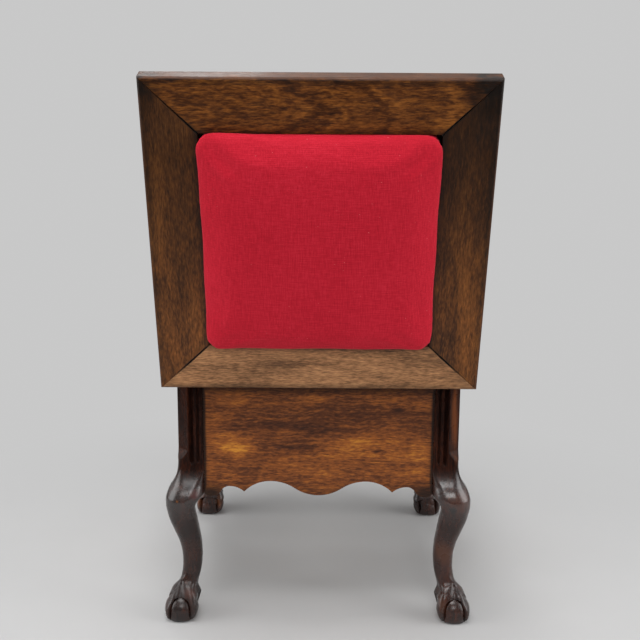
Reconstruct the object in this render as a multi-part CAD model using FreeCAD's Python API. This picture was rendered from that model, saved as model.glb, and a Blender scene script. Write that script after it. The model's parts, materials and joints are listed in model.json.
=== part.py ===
import FreeCAD, Part
import math
import os

# Shoe shine footstool: a storage box on four carved legs, with a padded lid hinged at the back.
# Millimetres. The origin is on the floor under the middle of the box, +Z is up.
# The hinges are on the -Y side.
# The lid is modelled standing open, leaning back on its stop.

Vector = FreeCAD.Vector
X_AXIS = Vector(1, 0, 0)
Y_AXIS = Vector(0, 1, 0)
Z_AXIS = Vector(0, 0, 1)
CUT_PAST = 2.0          # how far a cutting shape runs past the face that it opens

# Lid frame
LID_SIDE = 458.5
LID_THICKNESS = 28.0
LID_FRAME_WIDTH = 72.5  # from the lid's edge to the seat opening
LID_TOP_ROUND = 4.0
LID_UNDER_ROUND = 3.0
LID_OVERHANG = 17.5
LID_SEAT_GAP = 0.3      # between the closed lid and the box
LID_LEAN = 16.83        # degrees past upright when the lid stands open
LID_STOP_GAP = 0.3      # between the open lid's under edge and the backs of the posts
LEDGE_WIDTH = 10.0      # the ledge that carries the seat
LEDGE_THICKNESS = 8.0
MITRE_GAP_OUTER = 0.2   # between two boards at the lid's corner
MITRE_GAP_INNER = 1.8   # and at the corner of the seat opening, where the wood has shrunk

# Loose tongues in the lid's mitres
SPLINE_THICKNESS = 4.0
SPLINE_LENGTH = 60.0    # along the mitre
SPLINE_WIDTH = 24.0     # across the mitre
SPLINE_INSET = 12.0     # from the lid's edge to the nearest end of the tongue, along a side
SPLINE_PLAY = 0.1

# Seat pad
SEAT_PLAY = 0.6         # between the cover and the lid's opening
COVER_THICKNESS = 1.2
COVER_TURN_UNDER = 25.0
SEAT_BOARD_THICKNESS = 9.0
PAD_CORNER = 20.0
PAD_CORNER_GROWTH = 0.6  # how much the corners open out towards the crown, per millimetre drawn in
PAD_ROUNDEST = 0.9      # largest corner radius of any level, as a share of its half width
PAD_BULGE = 3.8         # how far the pad swells over the edge of the opening
PAD_BULGE_HEIGHT = 6.0  # above the lid's face
PAD_CROWN_HEIGHT = 25.0
PAD_CROWN_FLAT = 70.0   # width of the flat at the very top of the crown
PAD_FULLNESS = 3.0      # 2 makes the flank an ellipse, and more makes it squarer
PAD_STEPS = 8
SOFT_PLAY = 0.1

# Tacks under the seat
TACK_HEAD_RADIUS = 4.0
TACK_HEAD_THICKNESS = 1.2
TACK_SHANK_RADIUS = 0.8
TACK_LENGTH = 7.0
TACKS_PER_SIDE = 6
TACK_INSET = 18.0       # from the cover's side

# Box
BOX_HEIGHT = 397.0
POST_SIDE = 39.5
POST_CORNER_ROUND = 10.0
POST_CHAMFER = 16.5
CHAMFER_STOP_HEIGHT = 258.0
CHAMFER_STOP_LENGTH = 12.0
CHAMFER_STOP_HOLLOW = 2.0
PANEL_THICKNESS = 18.0
PANEL_SETBACK = 3.0     # behind the faces of the posts
JOINT_GAP = 0.1         # at every glued wooden joint
TENON_THICKNESS = 8.0
TENON_LENGTH = 12.0
TENON_SHOULDER = 16.0   # from the panel's top, and from its highest arch, to the tenon

# Flutes beside the post's chamfer: width, depth and distance from the post's outer corner
WIDE_FLUTE_WIDTH = 7.0
WIDE_FLUTE_DEPTH = 2.4
WIDE_FLUTE_INSET = 21.6
NARROW_FLUTE_WIDTH = 4.6
NARROW_FLUTE_DEPTH = 1.5
NARROW_FLUTE_INSET = 31.2
FLUTE_STOP_HEIGHT = 254.0

# Scalloped lower edge of the panels: half outline, from the middle to the post.
# Each inset is from the post's inner face
LOBE_HEIGHT = 200.3
ARCH_INSET = 100.25
ARCH_HEIGHT = 222.7
LOBE_SHARE = 0.49       # where the curve turns over between the lobe and the arch
CUSP_INSET = 60.25
CUSP_HEIGHT = 205.5
SMALL_ARCH_INSET = 38.25
SMALL_ARCH_HEIGHT = 214.2
END_LOBE_INSET = 10.25
END_LOBE_HEIGHT = 198.0
END_LOBE_SHARE = 0.55
PANEL_END_HEIGHT = 202.0

# Carved part of a leg, from the floor up. Each station is a rounded square:
# rise above the station below it, how far its outer faces stand past the faces of the post,
# width, and corner radius
FOOT_BASE = dict(rise=0.0, reach=20.6, width=42.0, corner=8.0)
FOOT_LOWER = dict(rise=7.0, reach=23.6, width=49.0, corner=9.0)
FOOT_BULGE = dict(rise=11.0, reach=23.8, width=52.4, corner=10.0)
FOOT_KNUCKLE = dict(rise=13.0, reach=19.2, width=50.6, corner=11.0)
FOOT_NECK = dict(rise=15.0, reach=12.0, width=39.0, corner=12.0)
ANKLE_LOWER = dict(rise=16.0, reach=0.2, width=29.0, corner=11.5)
ANKLE = dict(rise=22.0, reach=-3.4, width=29.0, corner=11.5)
SHIN_LOWER = dict(rise=28.0, reach=-0.5, width=32.6, corner=12.0)
SHIN = dict(rise=30.0, reach=8.6, width=38.7, corner=13.0)
CALF = dict(rise=26.0, reach=16.4, width=42.6, corner=14.0)
KNEE_UNDER = dict(rise=16.0, reach=18.9, width=44.4, corner=15.0)
KNEE = dict(rise=13.0, reach=19.0, width=54.0, corner=16.0)
KNEE_UPPER = dict(rise=13.0, reach=14.8, width=53.6, corner=16.0)
KNEE_TOP = dict(rise=14.0, reach=5.6, width=44.8, corner=13.0)
KNEE_END = dict(rise=16.0, reach=0.3, width=39.4, corner=10.5)
LEG_STATIONS = [
    FOOT_BASE, FOOT_LOWER, FOOT_BULGE, FOOT_KNUCKLE, FOOT_NECK,
    ANKLE_LOWER, ANKLE, SHIN_LOWER, SHIN, CALF,
    KNEE_UNDER, KNEE, KNEE_UPPER, KNEE_TOP, KNEE_END,
]
LEG_LOFT_DEGREE = 2
BALL_RADIUS = 23.5
BALL_CENTRE_HEIGHT = 21.0
CLAW_WINDOW_WIDTH = 21.0
CLAW_WINDOW_HEIGHT = 33.0
CLAW_WINDOW_DEPTH = 8.0  # in from the foot's sides

# Bottom of the box
CLEAT_SIDE = 16.0
CLEAT_RISE = 1.5        # from the top of the panels' arches to the cleats
BOTTOM_THICKNESS = 10.0
BOTTOM_PLAY = 0.6
CLEAT_SCREWS_PER_SIDE = 3
CLEAT_SCREW_SPACING = 120.0
CLEAT_SCREW_LENGTH = 27.0

# Shoe rest inside the box
REST_DROP = 5.0         # from the rim of the box to the top of the heel
REST_HEEL_HEIGHT = 9.0
REST_HEEL_LENGTH = 62.0
REST_SOLE_THICKNESS = 14.0
REST_SOLE_LENGTH = 250.0
REST_TOE_WIDTH = 88.0
REST_WAIST_WIDTH = 58.0
REST_HEEL_WIDTH = 66.0
PEDESTAL_LENGTH = 130.0
PEDESTAL_WIDTH = 46.0
PEDESTAL_FOOT_LENGTH = 170.0
REST_SCREW_LENGTH = 30.0
REST_SCREW_SPACING = 70.0
HEEL_SCREW_LENGTH = 20.0
HEEL_SCREW_SPACING = 24.0

# Butt hinges
HINGE_LENGTH = 63.5
HINGE_REACH = 95.0      # from the middle of the box to the middle of a hinge
HINGE_LEAF_WIDTH = 23.5
HINGE_LEAF_THICKNESS = 1.8
KNUCKLE_RADIUS = 4.2
KNUCKLE_COUNT = 5
KNUCKLE_PLAY = 0.3
PIN_RADIUS = 2.2
PIN_PLAY = 0.05
PIN_HEAD_RADIUS = 3.2
PIN_HEAD_LENGTH = 1.2
HINGE_POCKET_PLAY = 0.6
LEAF_PLAY = 0.1
HINGE_SCREWS_PER_LEAF = 3
HINGE_SCREW_SPACING = 22.0
HINGE_SCREW_INSET = 8.0  # from the leaf's free edge
HINGE_SCREW_LENGTH = 16.0

# Countersunk wood screws
SCREW_SHANK_RADIUS = 1.75
SCREW_HEAD_RADIUS = 3.5
SCREW_TIP_LENGTH = 3.0
SCREW_SLOT_WIDTH = 0.9
SCREW_SLOT_DEPTH = 0.8
SCREW_PLAY = 0.05
SEAT_SCREW_LENGTH = 15.0
SEAT_SCREWS_PER_SIDE = 2
SEAT_SCREW_SPACING = 180.0

# Worked out from the sizes above
box_half = LID_SIDE / 2 - LID_OVERHANG
post_inner = box_half - POST_SIDE
panel_outer = box_half - PANEL_SETBACK
panel_inner = panel_outer - PANEL_THICKNESS
lid_under = BOX_HEIGHT + LID_SEAT_GAP
lid_face = lid_under + LID_THICKNESS
opening_half = LID_SIDE / 2 - LID_FRAME_WIDTH
ledge_top = lid_under + LEDGE_THICKNESS
crown_start = lid_face + SOFT_PLAY
cleat_low = ARCH_HEIGHT + CLEAT_RISE
bottom_low = cleat_low + CLEAT_SIDE
bottom_top = bottom_low + BOTTOM_THICKNESS
rest_top = BOX_HEIGHT - REST_DROP - REST_HEEL_HEIGHT
sole_low = rest_top - REST_SOLE_THICKNESS
lean_sine = math.sin(math.radians(LID_LEAN))
lean_cosine = math.cos(math.radians(LID_LEAN))
# The lid's rounded under edge stops against the backs of the posts, so the lean sets the hinge line.
hinge_setback = (
    (LID_OVERHANG - LID_UNDER_ROUND) * lean_sine
    - (LID_SEAT_GAP / 2 + LID_UNDER_ROUND) * lean_cosine
    + LID_UNDER_ROUND + LID_STOP_GAP
) / (1 + lean_sine)
hinge_line = Vector(0, -box_half - hinge_setback, BOX_HEIGHT + LID_SEAT_GAP / 2)


def block(low, high):
    """A block between its lowest and highest corners."""
    size = [top - bottom for bottom, top in zip(low, high)]
    return Part.makeBox(*size, Vector(*low))


def turned(shape, degrees):
    """A copy turned about the upright axis of the box."""
    copy = shape.copy()
    copy.rotate(Vector(0, 0, 0), Z_AXIS, degrees)
    return copy


def opened(shape):
    """A copy of a piece of the closed lid, turned about the hinge line to where it stands open."""
    copy = shape.copy()
    copy.rotate(hinge_line, X_AXIS, 90 + LID_LEAN)
    return copy


def placed(shape, position, direction):
    """A copy of a piece made pointing down from the origin, set at a place and pointing another way."""
    copy = shape.copy()
    copy.Placement = FreeCAD.Placement(position, FreeCAD.Rotation(Vector(0, 0, -1), direction))
    return copy


def spaced(count, spacing):
    """Places along a line, centred on zero."""
    return [(number - (count - 1) / 2) * spacing for number in range(count)]


def cut_all(shape, cutters):
    """The shape with every cutter taken out of it."""
    return shape.cut(cutters)


def revolved(points):
    """A solid turned about the Z axis from (radius, height) corners."""
    corners = [Vector(radius, 0, height) for radius, height in points]
    outline = Part.makePolygon(corners + [corners[0]])
    return Part.Face(outline).revolve(Vector(0, 0, 0), Z_AXIS, 360)


def screw_body(length, play=0.0):
    """A countersunk screw pointing down, its head level with the origin. With play it is its hole."""
    shank = SCREW_SHANK_RADIUS + play
    head = SCREW_HEAD_RADIUS + play
    head_depth = head - shank
    tip = -length - play
    return revolved([(0, 0), (head, 0), (shank, -head_depth), (shank, tip + SCREW_TIP_LENGTH), (0, tip)])


def screw(length):
    """A countersunk screw with a slotted head."""
    slot = block(
        (-SCREW_HEAD_RADIUS, -SCREW_SLOT_WIDTH / 2, -SCREW_SLOT_DEPTH),
        (SCREW_HEAD_RADIUS, SCREW_SLOT_WIDTH / 2, CUT_PAST),
    )
    return screw_body(length).cut(slot)


def screw_row(length, places, direction):
    """Screws of one length at several places, and the holes that they need."""
    body = screw(length)
    hole = screw_body(length, SCREW_PLAY)
    screws = [placed(body, place, direction) for place in places]
    holes = [placed(hole, place, direction) for place in places]
    return screws, holes


def rounded_square(middle, half, corner, height):
    """A level outline: a square with rounded corners, centred on a point (x, y)."""
    flat = half - corner
    edges = []
    for quarter in range(4):
        turn = FreeCAD.Rotation(Z_AXIS, 90 * quarter)
        shift = Vector(middle[0], middle[1], height)
        slant = corner * math.sqrt(0.5)
        start = shift + turn.multVec(Vector(half, flat, 0))
        crest = shift + turn.multVec(Vector(flat + slant, flat + slant, 0))
        end = shift + turn.multVec(Vector(flat, half, 0))
        following = shift + turn.multVec(Vector(-flat, half, 0))
        edges.append(Part.Arc(start, crest, end).toShape())
        edges.append(Part.LineSegment(end, following).toShape())
    return Part.Wire(edges)


def level_arc(level, end):
    """An arc between two (x, z) points of an outline, level at the first."""
    across = end[0] - level[0]
    rise = end[1] - level[1]
    radius = (across ** 2 + rise ** 2) / (2 * rise)
    turn = math.atan2(across / radius, (radius - rise) / radius) / 2
    crest = (level[0] + radius * math.sin(turn), level[1] + radius * (1 - math.cos(turn)))
    points = [Vector(x, 0, z) for x, z in (level, crest, end)]
    return Part.Arc(*points).toShape()


def swept_curve(low, high, share):
    """Two arcs that leave both points level and meet on the line between them."""
    meeting = tuple(a + (b - a) * share for a, b in zip(low, high))
    return [level_arc(low, meeting), level_arc(high, meeting)]


def scallop(side):
    """One half of a panel's lower edge, from the middle to the right (side 1) or the left (side -1)."""
    lobe = (0, LOBE_HEIGHT)
    arch = (side * (post_inner - ARCH_INSET), ARCH_HEIGHT)
    cusp = (side * (post_inner - CUSP_INSET), CUSP_HEIGHT)
    small_arch = (side * (post_inner - SMALL_ARCH_INSET), SMALL_ARCH_HEIGHT)
    end_lobe = (side * (post_inner - END_LOBE_INSET), END_LOBE_HEIGHT)
    end = (side * (post_inner - JOINT_GAP), PANEL_END_HEIGHT)
    edges = swept_curve(lobe, arch, LOBE_SHARE)
    edges += [level_arc(arch, cusp), level_arc(small_arch, cusp)]
    edges += swept_curve(end_lobe, small_arch, END_LOBE_SHARE)
    edges.append(level_arc(end_lobe, end))
    return edges


def panel_blank():
    """The rear panel before anything is fixed to it: a scalloped board with a tenon at each end."""
    end = post_inner - JOINT_GAP
    corners = [Vector(x, 0, z) for x, z in (
        (end, PANEL_END_HEIGHT), (end, BOX_HEIGHT), (-end, BOX_HEIGHT), (-end, PANEL_END_HEIGHT))]
    edges = scallop(1) + scallop(-1) + Part.makePolygon(corners).Edges
    outline = Part.Wire(Part.__sortEdges__(edges))
    board = Part.Face(outline).extrude(Vector(0, PANEL_THICKNESS, 0))
    board.translate(Vector(0, -panel_outer, 0))
    tenon_reach = post_inner + TENON_LENGTH
    low, high = tenon_span()
    middle = -panel_outer + PANEL_THICKNESS / 2
    tongue = block(
        (-tenon_reach, middle - TENON_THICKNESS / 2, low),
        (tenon_reach, middle + TENON_THICKNESS / 2, high),
    )
    return board.fuse(tongue).removeSplitter()


def tenon_span():
    """Lowest and highest level of the panels' tenons."""
    return ARCH_HEIGHT + TENON_SHOULDER, BOX_HEIGHT - TENON_SHOULDER


def mortises():
    """The two sockets for panel tenons in the leg at +X and +Y."""
    low, high = tenon_span()
    middle = panel_outer - PANEL_THICKNESS / 2
    half = TENON_THICKNESS / 2 + JOINT_GAP
    inner = post_inner - CUT_PAST
    outer = post_inner + TENON_LENGTH + JOINT_GAP
    sockets = []
    for along_x in (True, False):
        span_a = (inner, outer)
        span_b = (middle - half, middle + half)
        x_span, y_span = (span_a, span_b) if along_x else (span_b, span_a)
        sockets.append(block(
            (x_span[0], y_span[0], low - JOINT_GAP), (x_span[1], y_span[1], high + JOINT_GAP)))
    return sockets


def flutes():
    """Stopped flutes on the two outer faces of the post at +X and +Y."""
    cutters = []
    for width, depth, inset in (
        (WIDE_FLUTE_WIDTH, WIDE_FLUTE_DEPTH, WIDE_FLUTE_INSET),
        (NARROW_FLUTE_WIDTH, NARROW_FLUTE_DEPTH, NARROW_FLUTE_INSET),
    ):
        radius = (width ** 2 / 4 + depth ** 2) / (2 * depth)
        off_face = box_half + radius - depth
        along = box_half - inset
        for x, y in ((along, off_face), (off_face, along)):
            foot = Vector(x, y, FLUTE_STOP_HEIGHT)
            length = BOX_HEIGHT + CUT_PAST - FLUTE_STOP_HEIGHT
            cutters.append(Part.makeCylinder(radius, length, foot).fuse(Part.makeSphere(radius, foot)))
    return cutters


def corner_chamfer():
    """The wide chamfer on the post's outer corner, with a curved stop at its lower end."""
    corner = box_half * math.sqrt(2)
    face = corner - POST_CHAMFER / math.sqrt(2)
    past = corner + CUT_PAST
    stop_low = CHAMFER_STOP_HEIGHT - CHAMFER_STOP_LENGTH
    stop_curve = (
        (face + past) / 2 - CHAMFER_STOP_HOLLOW,
        (CHAMFER_STOP_HEIGHT + stop_low) / 2 - CHAMFER_STOP_HOLLOW,
    )

    def on_diagonal(out, height):
        return Vector(out * math.sqrt(0.5), out * math.sqrt(0.5), height)

    top = BOX_HEIGHT + CUT_PAST
    sides = Part.makePolygon([
        on_diagonal(face, CHAMFER_STOP_HEIGHT), on_diagonal(face, top),
        on_diagonal(past, top), on_diagonal(past, stop_low)])
    stop = Part.Arc(
        on_diagonal(past, stop_low), on_diagonal(*stop_curve), on_diagonal(face, CHAMFER_STOP_HEIGHT))
    outline = Part.Wire(sides.Edges + [stop.toShape()])
    across = Vector(1, -1, 0) * POST_SIDE
    cutter = Part.Face(outline).extrude(across)
    cutter.translate(across * -0.5)
    return cutter


def post_block():
    """The square upper part of the leg at +X and +Y."""
    post = block((post_inner, post_inner, PANEL_END_HEIGHT), (box_half, box_half, BOX_HEIGHT))
    corner = [edge for edge in post.Edges
              if all(abs(v.X - box_half) + abs(v.Y - box_half) < JOINT_GAP for v in edge.Vertexes)]
    post = post.makeFillet(POST_CORNER_ROUND, corner)
    return cut_all(post, [corner_chamfer()] + flutes())


def carved_leg():
    """The cabriole part of the leg at +X and +Y, with the ball gripped between four claws."""
    outlines = []
    height = 0
    for station in LEG_STATIONS:
        half = station["width"] / 2
        middle = box_half + station["reach"] - half
        height += station["rise"]
        outlines.append(rounded_square((middle, middle), half, station["corner"], height))
    leg = Part.makeLoft(outlines, True, False, False, LEG_LOFT_DEGREE)
    foot_half = FOOT_BULGE["width"] / 2
    foot = box_half + FOOT_BULGE["reach"] - foot_half
    windows = [claw_window(foot, foot_half, quarter) for quarter in range(4)]
    leg = cut_all(leg, windows)
    ball = Part.makeSphere(BALL_RADIUS, Vector(foot, foot, BALL_CENTRE_HEIGHT))
    span = 2 * BALL_RADIUS
    above_floor = block((foot - span, foot - span, 0), (foot + span, foot + span, 2 * span))
    return leg.fuse(ball.common(above_floor))


def claw_window(foot, foot_half, quarter):
    """An arched cut between two claws, which shows the ball."""
    half = CLAW_WINDOW_WIDTH / 2
    spring = CLAW_WINDOW_HEIGHT - half
    low = -CUT_PAST
    sides = Part.makePolygon([
        Vector(0, -half, spring), Vector(0, -half, low), Vector(0, half, low), Vector(0, half, spring)])
    arch = Part.Arc(Vector(0, half, spring), Vector(0, 0, CLAW_WINDOW_HEIGHT), Vector(0, -half, spring))
    outline = Part.Wire(sides.Edges + [arch.toShape()])
    cutter = Part.Face(outline).extrude(Vector(CLAW_WINDOW_DEPTH + foot_half, 0, 0))
    cutter.translate(Vector(foot_half - CLAW_WINDOW_DEPTH, 0, 0))
    cutter.rotate(Vector(0, 0, 0), Z_AXIS, 90 * quarter)
    cutter.translate(Vector(foot, foot, 0))
    return cutter


def legs():
    """The four legs, each one timber, mirrored from the one at +X and +Y."""
    leg = cut_all(carved_leg().fuse(post_block()), mortises())
    origin = Vector(0, 0, 0)
    left = leg.mirror(origin, X_AXIS)
    return {
        "leg_front_right": leg,
        "leg_front_left": left,
        "leg_rear_right": leg.mirror(origin, Y_AXIS),
        "leg_rear_left": left.mirror(origin, Y_AXIS),
    }


SIDES = {"rear": 0, "right": 90, "front": 180, "left": 270}


def box_sides():
    """The four panels, the cleats inside them and the screws that hold the cleats."""
    half_length = post_inner - JOINT_GAP
    cleat = block(
        (-half_length, -panel_inner, cleat_low),
        (half_length, -panel_inner + CLEAT_SIDE, bottom_low),
    )
    places = [
        Vector(x, -panel_inner + CLEAT_SIDE, cleat_low + CLEAT_SIDE / 2)
        for x in spaced(CLEAT_SCREWS_PER_SIDE, CLEAT_SCREW_SPACING)
    ]
    screws, holes = screw_row(CLEAT_SCREW_LENGTH, places, Vector(0, -1, 0))
    cleat = cut_all(cleat, holes)
    panel = cut_all(panel_blank(), holes)
    pieces = {}
    all_screws = []
    for side, degrees in SIDES.items():
        pieces["panel_" + side] = turned(panel, degrees)
        pieces["cleat_" + side] = turned(cleat, degrees)
        all_screws += [turned(one, degrees) for one in screws]
    pieces["cleat_screws"] = Part.makeCompound(all_screws)
    return pieces


def bottom_board(holes):
    """The floor of the box, notched round the posts."""
    half = panel_inner - BOTTOM_PLAY
    notch = post_inner - BOTTOM_PLAY
    board = block((-half, -half, bottom_low), (half, half, bottom_top))
    corners = []
    for x in (-1, 1):
        for y in (-1, 1):
            spans = [sorted((sign * notch, sign * (half + CUT_PAST))) for sign in (x, y)]
            corners.append(block(
                (spans[0][0], spans[1][0], bottom_low - CUT_PAST),
                (spans[0][1], spans[1][1], bottom_top + CUT_PAST),
            ))
    return cut_all(board, corners + holes)


def sole_outline():
    """A shoe sole seen from above, its toe towards the hinges."""
    heel_end = REST_SOLE_LENGTH / 2
    toe_end = -heel_end
    toe = REST_TOE_WIDTH / 2
    waist = REST_WAIST_WIDTH / 2
    heel = REST_HEEL_WIDTH / 2
    toe_start = toe_end + toe
    heel_start = heel_end - heel
    waist_place = (toe_start + heel_start) / 2
    edges = []
    for half, start, end in ((toe, toe_start, toe_end), (heel, heel_start, heel_end)):
        edges.append(Part.Arc(Vector(half, start, 0), Vector(0, end, 0), Vector(-half, start, 0)).toShape())
    for side in (-1, 1):
        edges.append(Part.Arc(
            Vector(side * toe, toe_start, 0), Vector(side * waist, waist_place, 0),
            Vector(side * heel, heel_start, 0)).toShape())
    return Part.Wire(Part.__sortEdges__(edges))


def shoe_rest():
    """A pedestal that carries a sole-shaped rest with a raised heel, and the screws that join them."""
    outline = sole_outline()
    outline.translate(Vector(0, 0, sole_low))
    sole = Part.Face(outline).extrude(Vector(0, 0, REST_SOLE_THICKNESS))
    heel_end = REST_SOLE_LENGTH / 2
    heel_zone = block(
        (-REST_TOE_WIDTH, heel_end - REST_HEEL_LENGTH, rest_top),
        (REST_TOE_WIDTH, heel_end + CUT_PAST, rest_top + REST_HEEL_HEIGHT),
    )
    heel = Part.Face(outline).extrude(Vector(0, 0, REST_SOLE_THICKNESS + REST_HEEL_HEIGHT)).common(heel_zone)
    half_foot = PEDESTAL_FOOT_LENGTH / 2
    half_top = PEDESTAL_LENGTH / 2
    corners = [
        Vector(0, -half_foot, bottom_top), Vector(0, half_foot, bottom_top),
        Vector(0, half_top, sole_low), Vector(0, -half_top, sole_low), Vector(0, -half_foot, bottom_top),
    ]
    pedestal = Part.Face(Part.makePolygon(corners)).extrude(Vector(PEDESTAL_WIDTH, 0, 0))
    pedestal.translate(Vector(-PEDESTAL_WIDTH / 2, 0, 0))

    down = Vector(0, 0, -1)
    sole_places = [Vector(0, y, rest_top) for y in spaced(2, REST_SCREW_SPACING)]
    sole_screws, sole_holes = screw_row(REST_SCREW_LENGTH, sole_places, down)
    heel_middle = heel_end - REST_HEEL_LENGTH / 2
    heel_top = rest_top + REST_HEEL_HEIGHT
    heel_places = [Vector(x, heel_middle, heel_top) for x in spaced(2, HEEL_SCREW_SPACING)]
    heel_screws, heel_holes = screw_row(HEEL_SCREW_LENGTH, heel_places, down)
    foot_places = [Vector(0, y, bottom_low) for y in spaced(2, REST_SCREW_SPACING)]
    foot_screws, foot_holes = screw_row(REST_SCREW_LENGTH, foot_places, Z_AXIS)
    return {
        "shoe_rest_pedestal": cut_all(pedestal, sole_holes + foot_holes),
        "shoe_rest_sole": cut_all(sole, sole_holes + heel_holes),
        "shoe_rest_heel": cut_all(heel, heel_holes),
        "shoe_rest_screws": Part.makeCompound(sole_screws + heel_screws + foot_screws),
        "bottom_board": bottom_board(foot_holes),
    }


def lid_board():
    """The lid's rear board, closed: rounded outside, rebated for the seat, and mitred at both ends."""
    outer = -LID_SIDE / 2
    opening = -opening_half
    ledge = opening + LEDGE_WIDTH
    corners = [Vector(0, y, z) for y, z in (
        (outer, lid_under), (ledge, lid_under), (ledge, ledge_top), (opening, ledge_top),
        (opening, lid_face), (outer, lid_face), (outer, lid_under))]
    board = Part.Face(Part.makePolygon(corners)).extrude(Vector(LID_SIDE, 0, 0))
    board.translate(Vector(-LID_SIDE / 2, 0, 0))
    for level, radius in ((lid_face, LID_TOP_ROUND), (lid_under, LID_UNDER_ROUND)):
        edges = [edge for edge in board.Edges
                 if all(abs(v.Y - outer) + abs(v.Z - level) < JOINT_GAP for v in edge.Vertexes)]
        board = board.makeFillet(radius, edges)
    low = lid_under - CUT_PAST
    past = LID_SIDE / 2 + CUT_PAST
    end = -past - mitre_setback(past)
    middle = Vector(0, -mitre_setback(0), low)
    triangle = Part.makePolygon([middle, Vector(-past, end, low), Vector(past, end, low), middle])
    wedge = Part.Face(triangle).extrude(Vector(0, 0, LID_THICKNESS + 2 * CUT_PAST))
    return board.common(wedge)


def mitre_setback(reach):
    """How far a board's mitre is set back at a distance from the lid's middle, for half of the gap."""
    opening = (LID_SIDE / 2 - reach) / LID_FRAME_WIDTH
    gap = MITRE_GAP_OUTER + (MITRE_GAP_INNER - MITRE_GAP_OUTER) * opening
    return gap / 2 * math.sqrt(2)


def mitre_tongue(play=0.0):
    """The loose tongue at the lid's rear left corner. With play it is the slot for one."""
    corner = (SPLINE_INSET - LID_SIDE / 2) * math.sqrt(2)
    middle = lid_under + LID_THICKNESS / 2
    tongue = block(
        (corner - play, -SPLINE_WIDTH / 2 - play, middle - SPLINE_THICKNESS / 2 - play),
        (corner + SPLINE_LENGTH + play, SPLINE_WIDTH / 2 + play, middle + SPLINE_THICKNESS / 2 + play),
    )
    return turned(tongue, 45)


def hinge_middles():
    """Places of the two hinges along the back of the box."""
    return {"left": -HINGE_REACH, "right": HINGE_REACH}


def hinge_leaf(middle, up, own_knuckles):
    """A closed hinge leaf at one place along the back. up is 1 for the lid's leaf and -1 for the box's."""
    y = hinge_line.y
    near = hinge_line.z + up * LID_SEAT_GAP / 2
    far = near + up * HINGE_LEAF_THICKNESS
    low, high = sorted((near, far))
    start = middle - HINGE_LENGTH / 2
    clear_of_knuckles = KNUCKLE_RADIUS + KNUCKLE_PLAY
    leaf = block((start, y + clear_of_knuckles, low), (start + HINGE_LENGTH, y + HINGE_LEAF_WIDTH, high))
    pitch = (HINGE_LENGTH + KNUCKLE_PLAY) / KNUCKLE_COUNT
    length = pitch - KNUCKLE_PLAY
    for number in own_knuckles:
        place = start + number * pitch
        leaf = leaf.fuse(block((place, y, low), (place + length, y + clear_of_knuckles, high)))
        leaf = leaf.fuse(Part.makeCylinder(KNUCKLE_RADIUS, length, Vector(place, y, hinge_line.z), X_AXIS))
    bore = Part.makeCylinder(
        PIN_RADIUS + PIN_PLAY, HINGE_LENGTH, Vector(start, y, hinge_line.z), X_AXIS)
    return leaf.cut(bore).removeSplitter()


def leaf_recess(middle, up):
    """The shallow recess in the wood for a hinge leaf, open towards the hinge line."""
    near = hinge_line.z + up * LID_SEAT_GAP / 2
    far = near + up * (HINGE_LEAF_THICKNESS + LEAF_PLAY)
    low, high = sorted((near - up * CUT_PAST, far))
    half = HINGE_LENGTH / 2 + LEAF_PLAY
    return block(
        (middle - half, hinge_line.y, low),
        (middle + half, hinge_line.y + HINGE_LEAF_WIDTH + LEAF_PLAY, high),
    )


def knuckle_pocket(middle):
    """The round channel in the lid's underside that takes the hinge's barrel."""
    length = HINGE_LENGTH + 2 * (PIN_HEAD_LENGTH + HINGE_POCKET_PLAY)
    start = Vector(middle - length / 2, hinge_line.y, hinge_line.z)
    return Part.makeCylinder(KNUCKLE_RADIUS + HINGE_POCKET_PLAY, length, start, X_AXIS)


def hinge_pin(middle):
    """The pin through a hinge's knuckles, with a flat head at each end."""
    start = Vector(middle - HINGE_LENGTH / 2, hinge_line.y, hinge_line.z)
    end = start + X_AXIS * HINGE_LENGTH
    pin = Part.makeCylinder(PIN_RADIUS, HINGE_LENGTH, start, X_AXIS)
    heads = [
        Part.makeCylinder(PIN_HEAD_RADIUS, PIN_HEAD_LENGTH, start, X_AXIS * -1),
        Part.makeCylinder(PIN_HEAD_RADIUS, PIN_HEAD_LENGTH, end, X_AXIS),
    ]
    return pin.multiFuse(heads)


def hinge_screw_places(middle, up):
    """Places of the screws in one leaf, on its outer face."""
    y = hinge_line.y + HINGE_LEAF_WIDTH - HINGE_SCREW_INSET
    z = hinge_line.z + up * LID_SEAT_GAP / 2
    return [Vector(middle + x, y, z) for x in spaced(HINGE_SCREWS_PER_LEAF, HINGE_SCREW_SPACING)]


def hinges():
    """Both hinges: leaves, pins and screws, with what has to be cut from the wood for them."""
    knuckles_of = {-1: range(0, KNUCKLE_COUNT, 2), 1: range(1, KNUCKLE_COUNT, 2)}
    names = {-1: "box", 1: "lid"}
    pieces = {}
    cuts = {-1: [], 1: []}
    for up, name in names.items():
        screws = []
        for side, middle in hinge_middles().items():
            row, holes = screw_row(HINGE_SCREW_LENGTH, hinge_screw_places(middle, up), Vector(0, 0, up))
            leaf = cut_all(hinge_leaf(middle, up, knuckles_of[up]), holes)
            pieces["hinge_leaf_" + name + "_" + side] = leaf
            screws += row
            cuts[up] += [leaf_recess(middle, up)] + holes
        pieces["hinge_screws_" + name] = Part.makeCompound(screws)
    for side, middle in hinge_middles().items():
        pieces["hinge_pin_" + side] = hinge_pin(middle)
        cuts[1].append(knuckle_pocket(middle))
    return pieces, cuts


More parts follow.
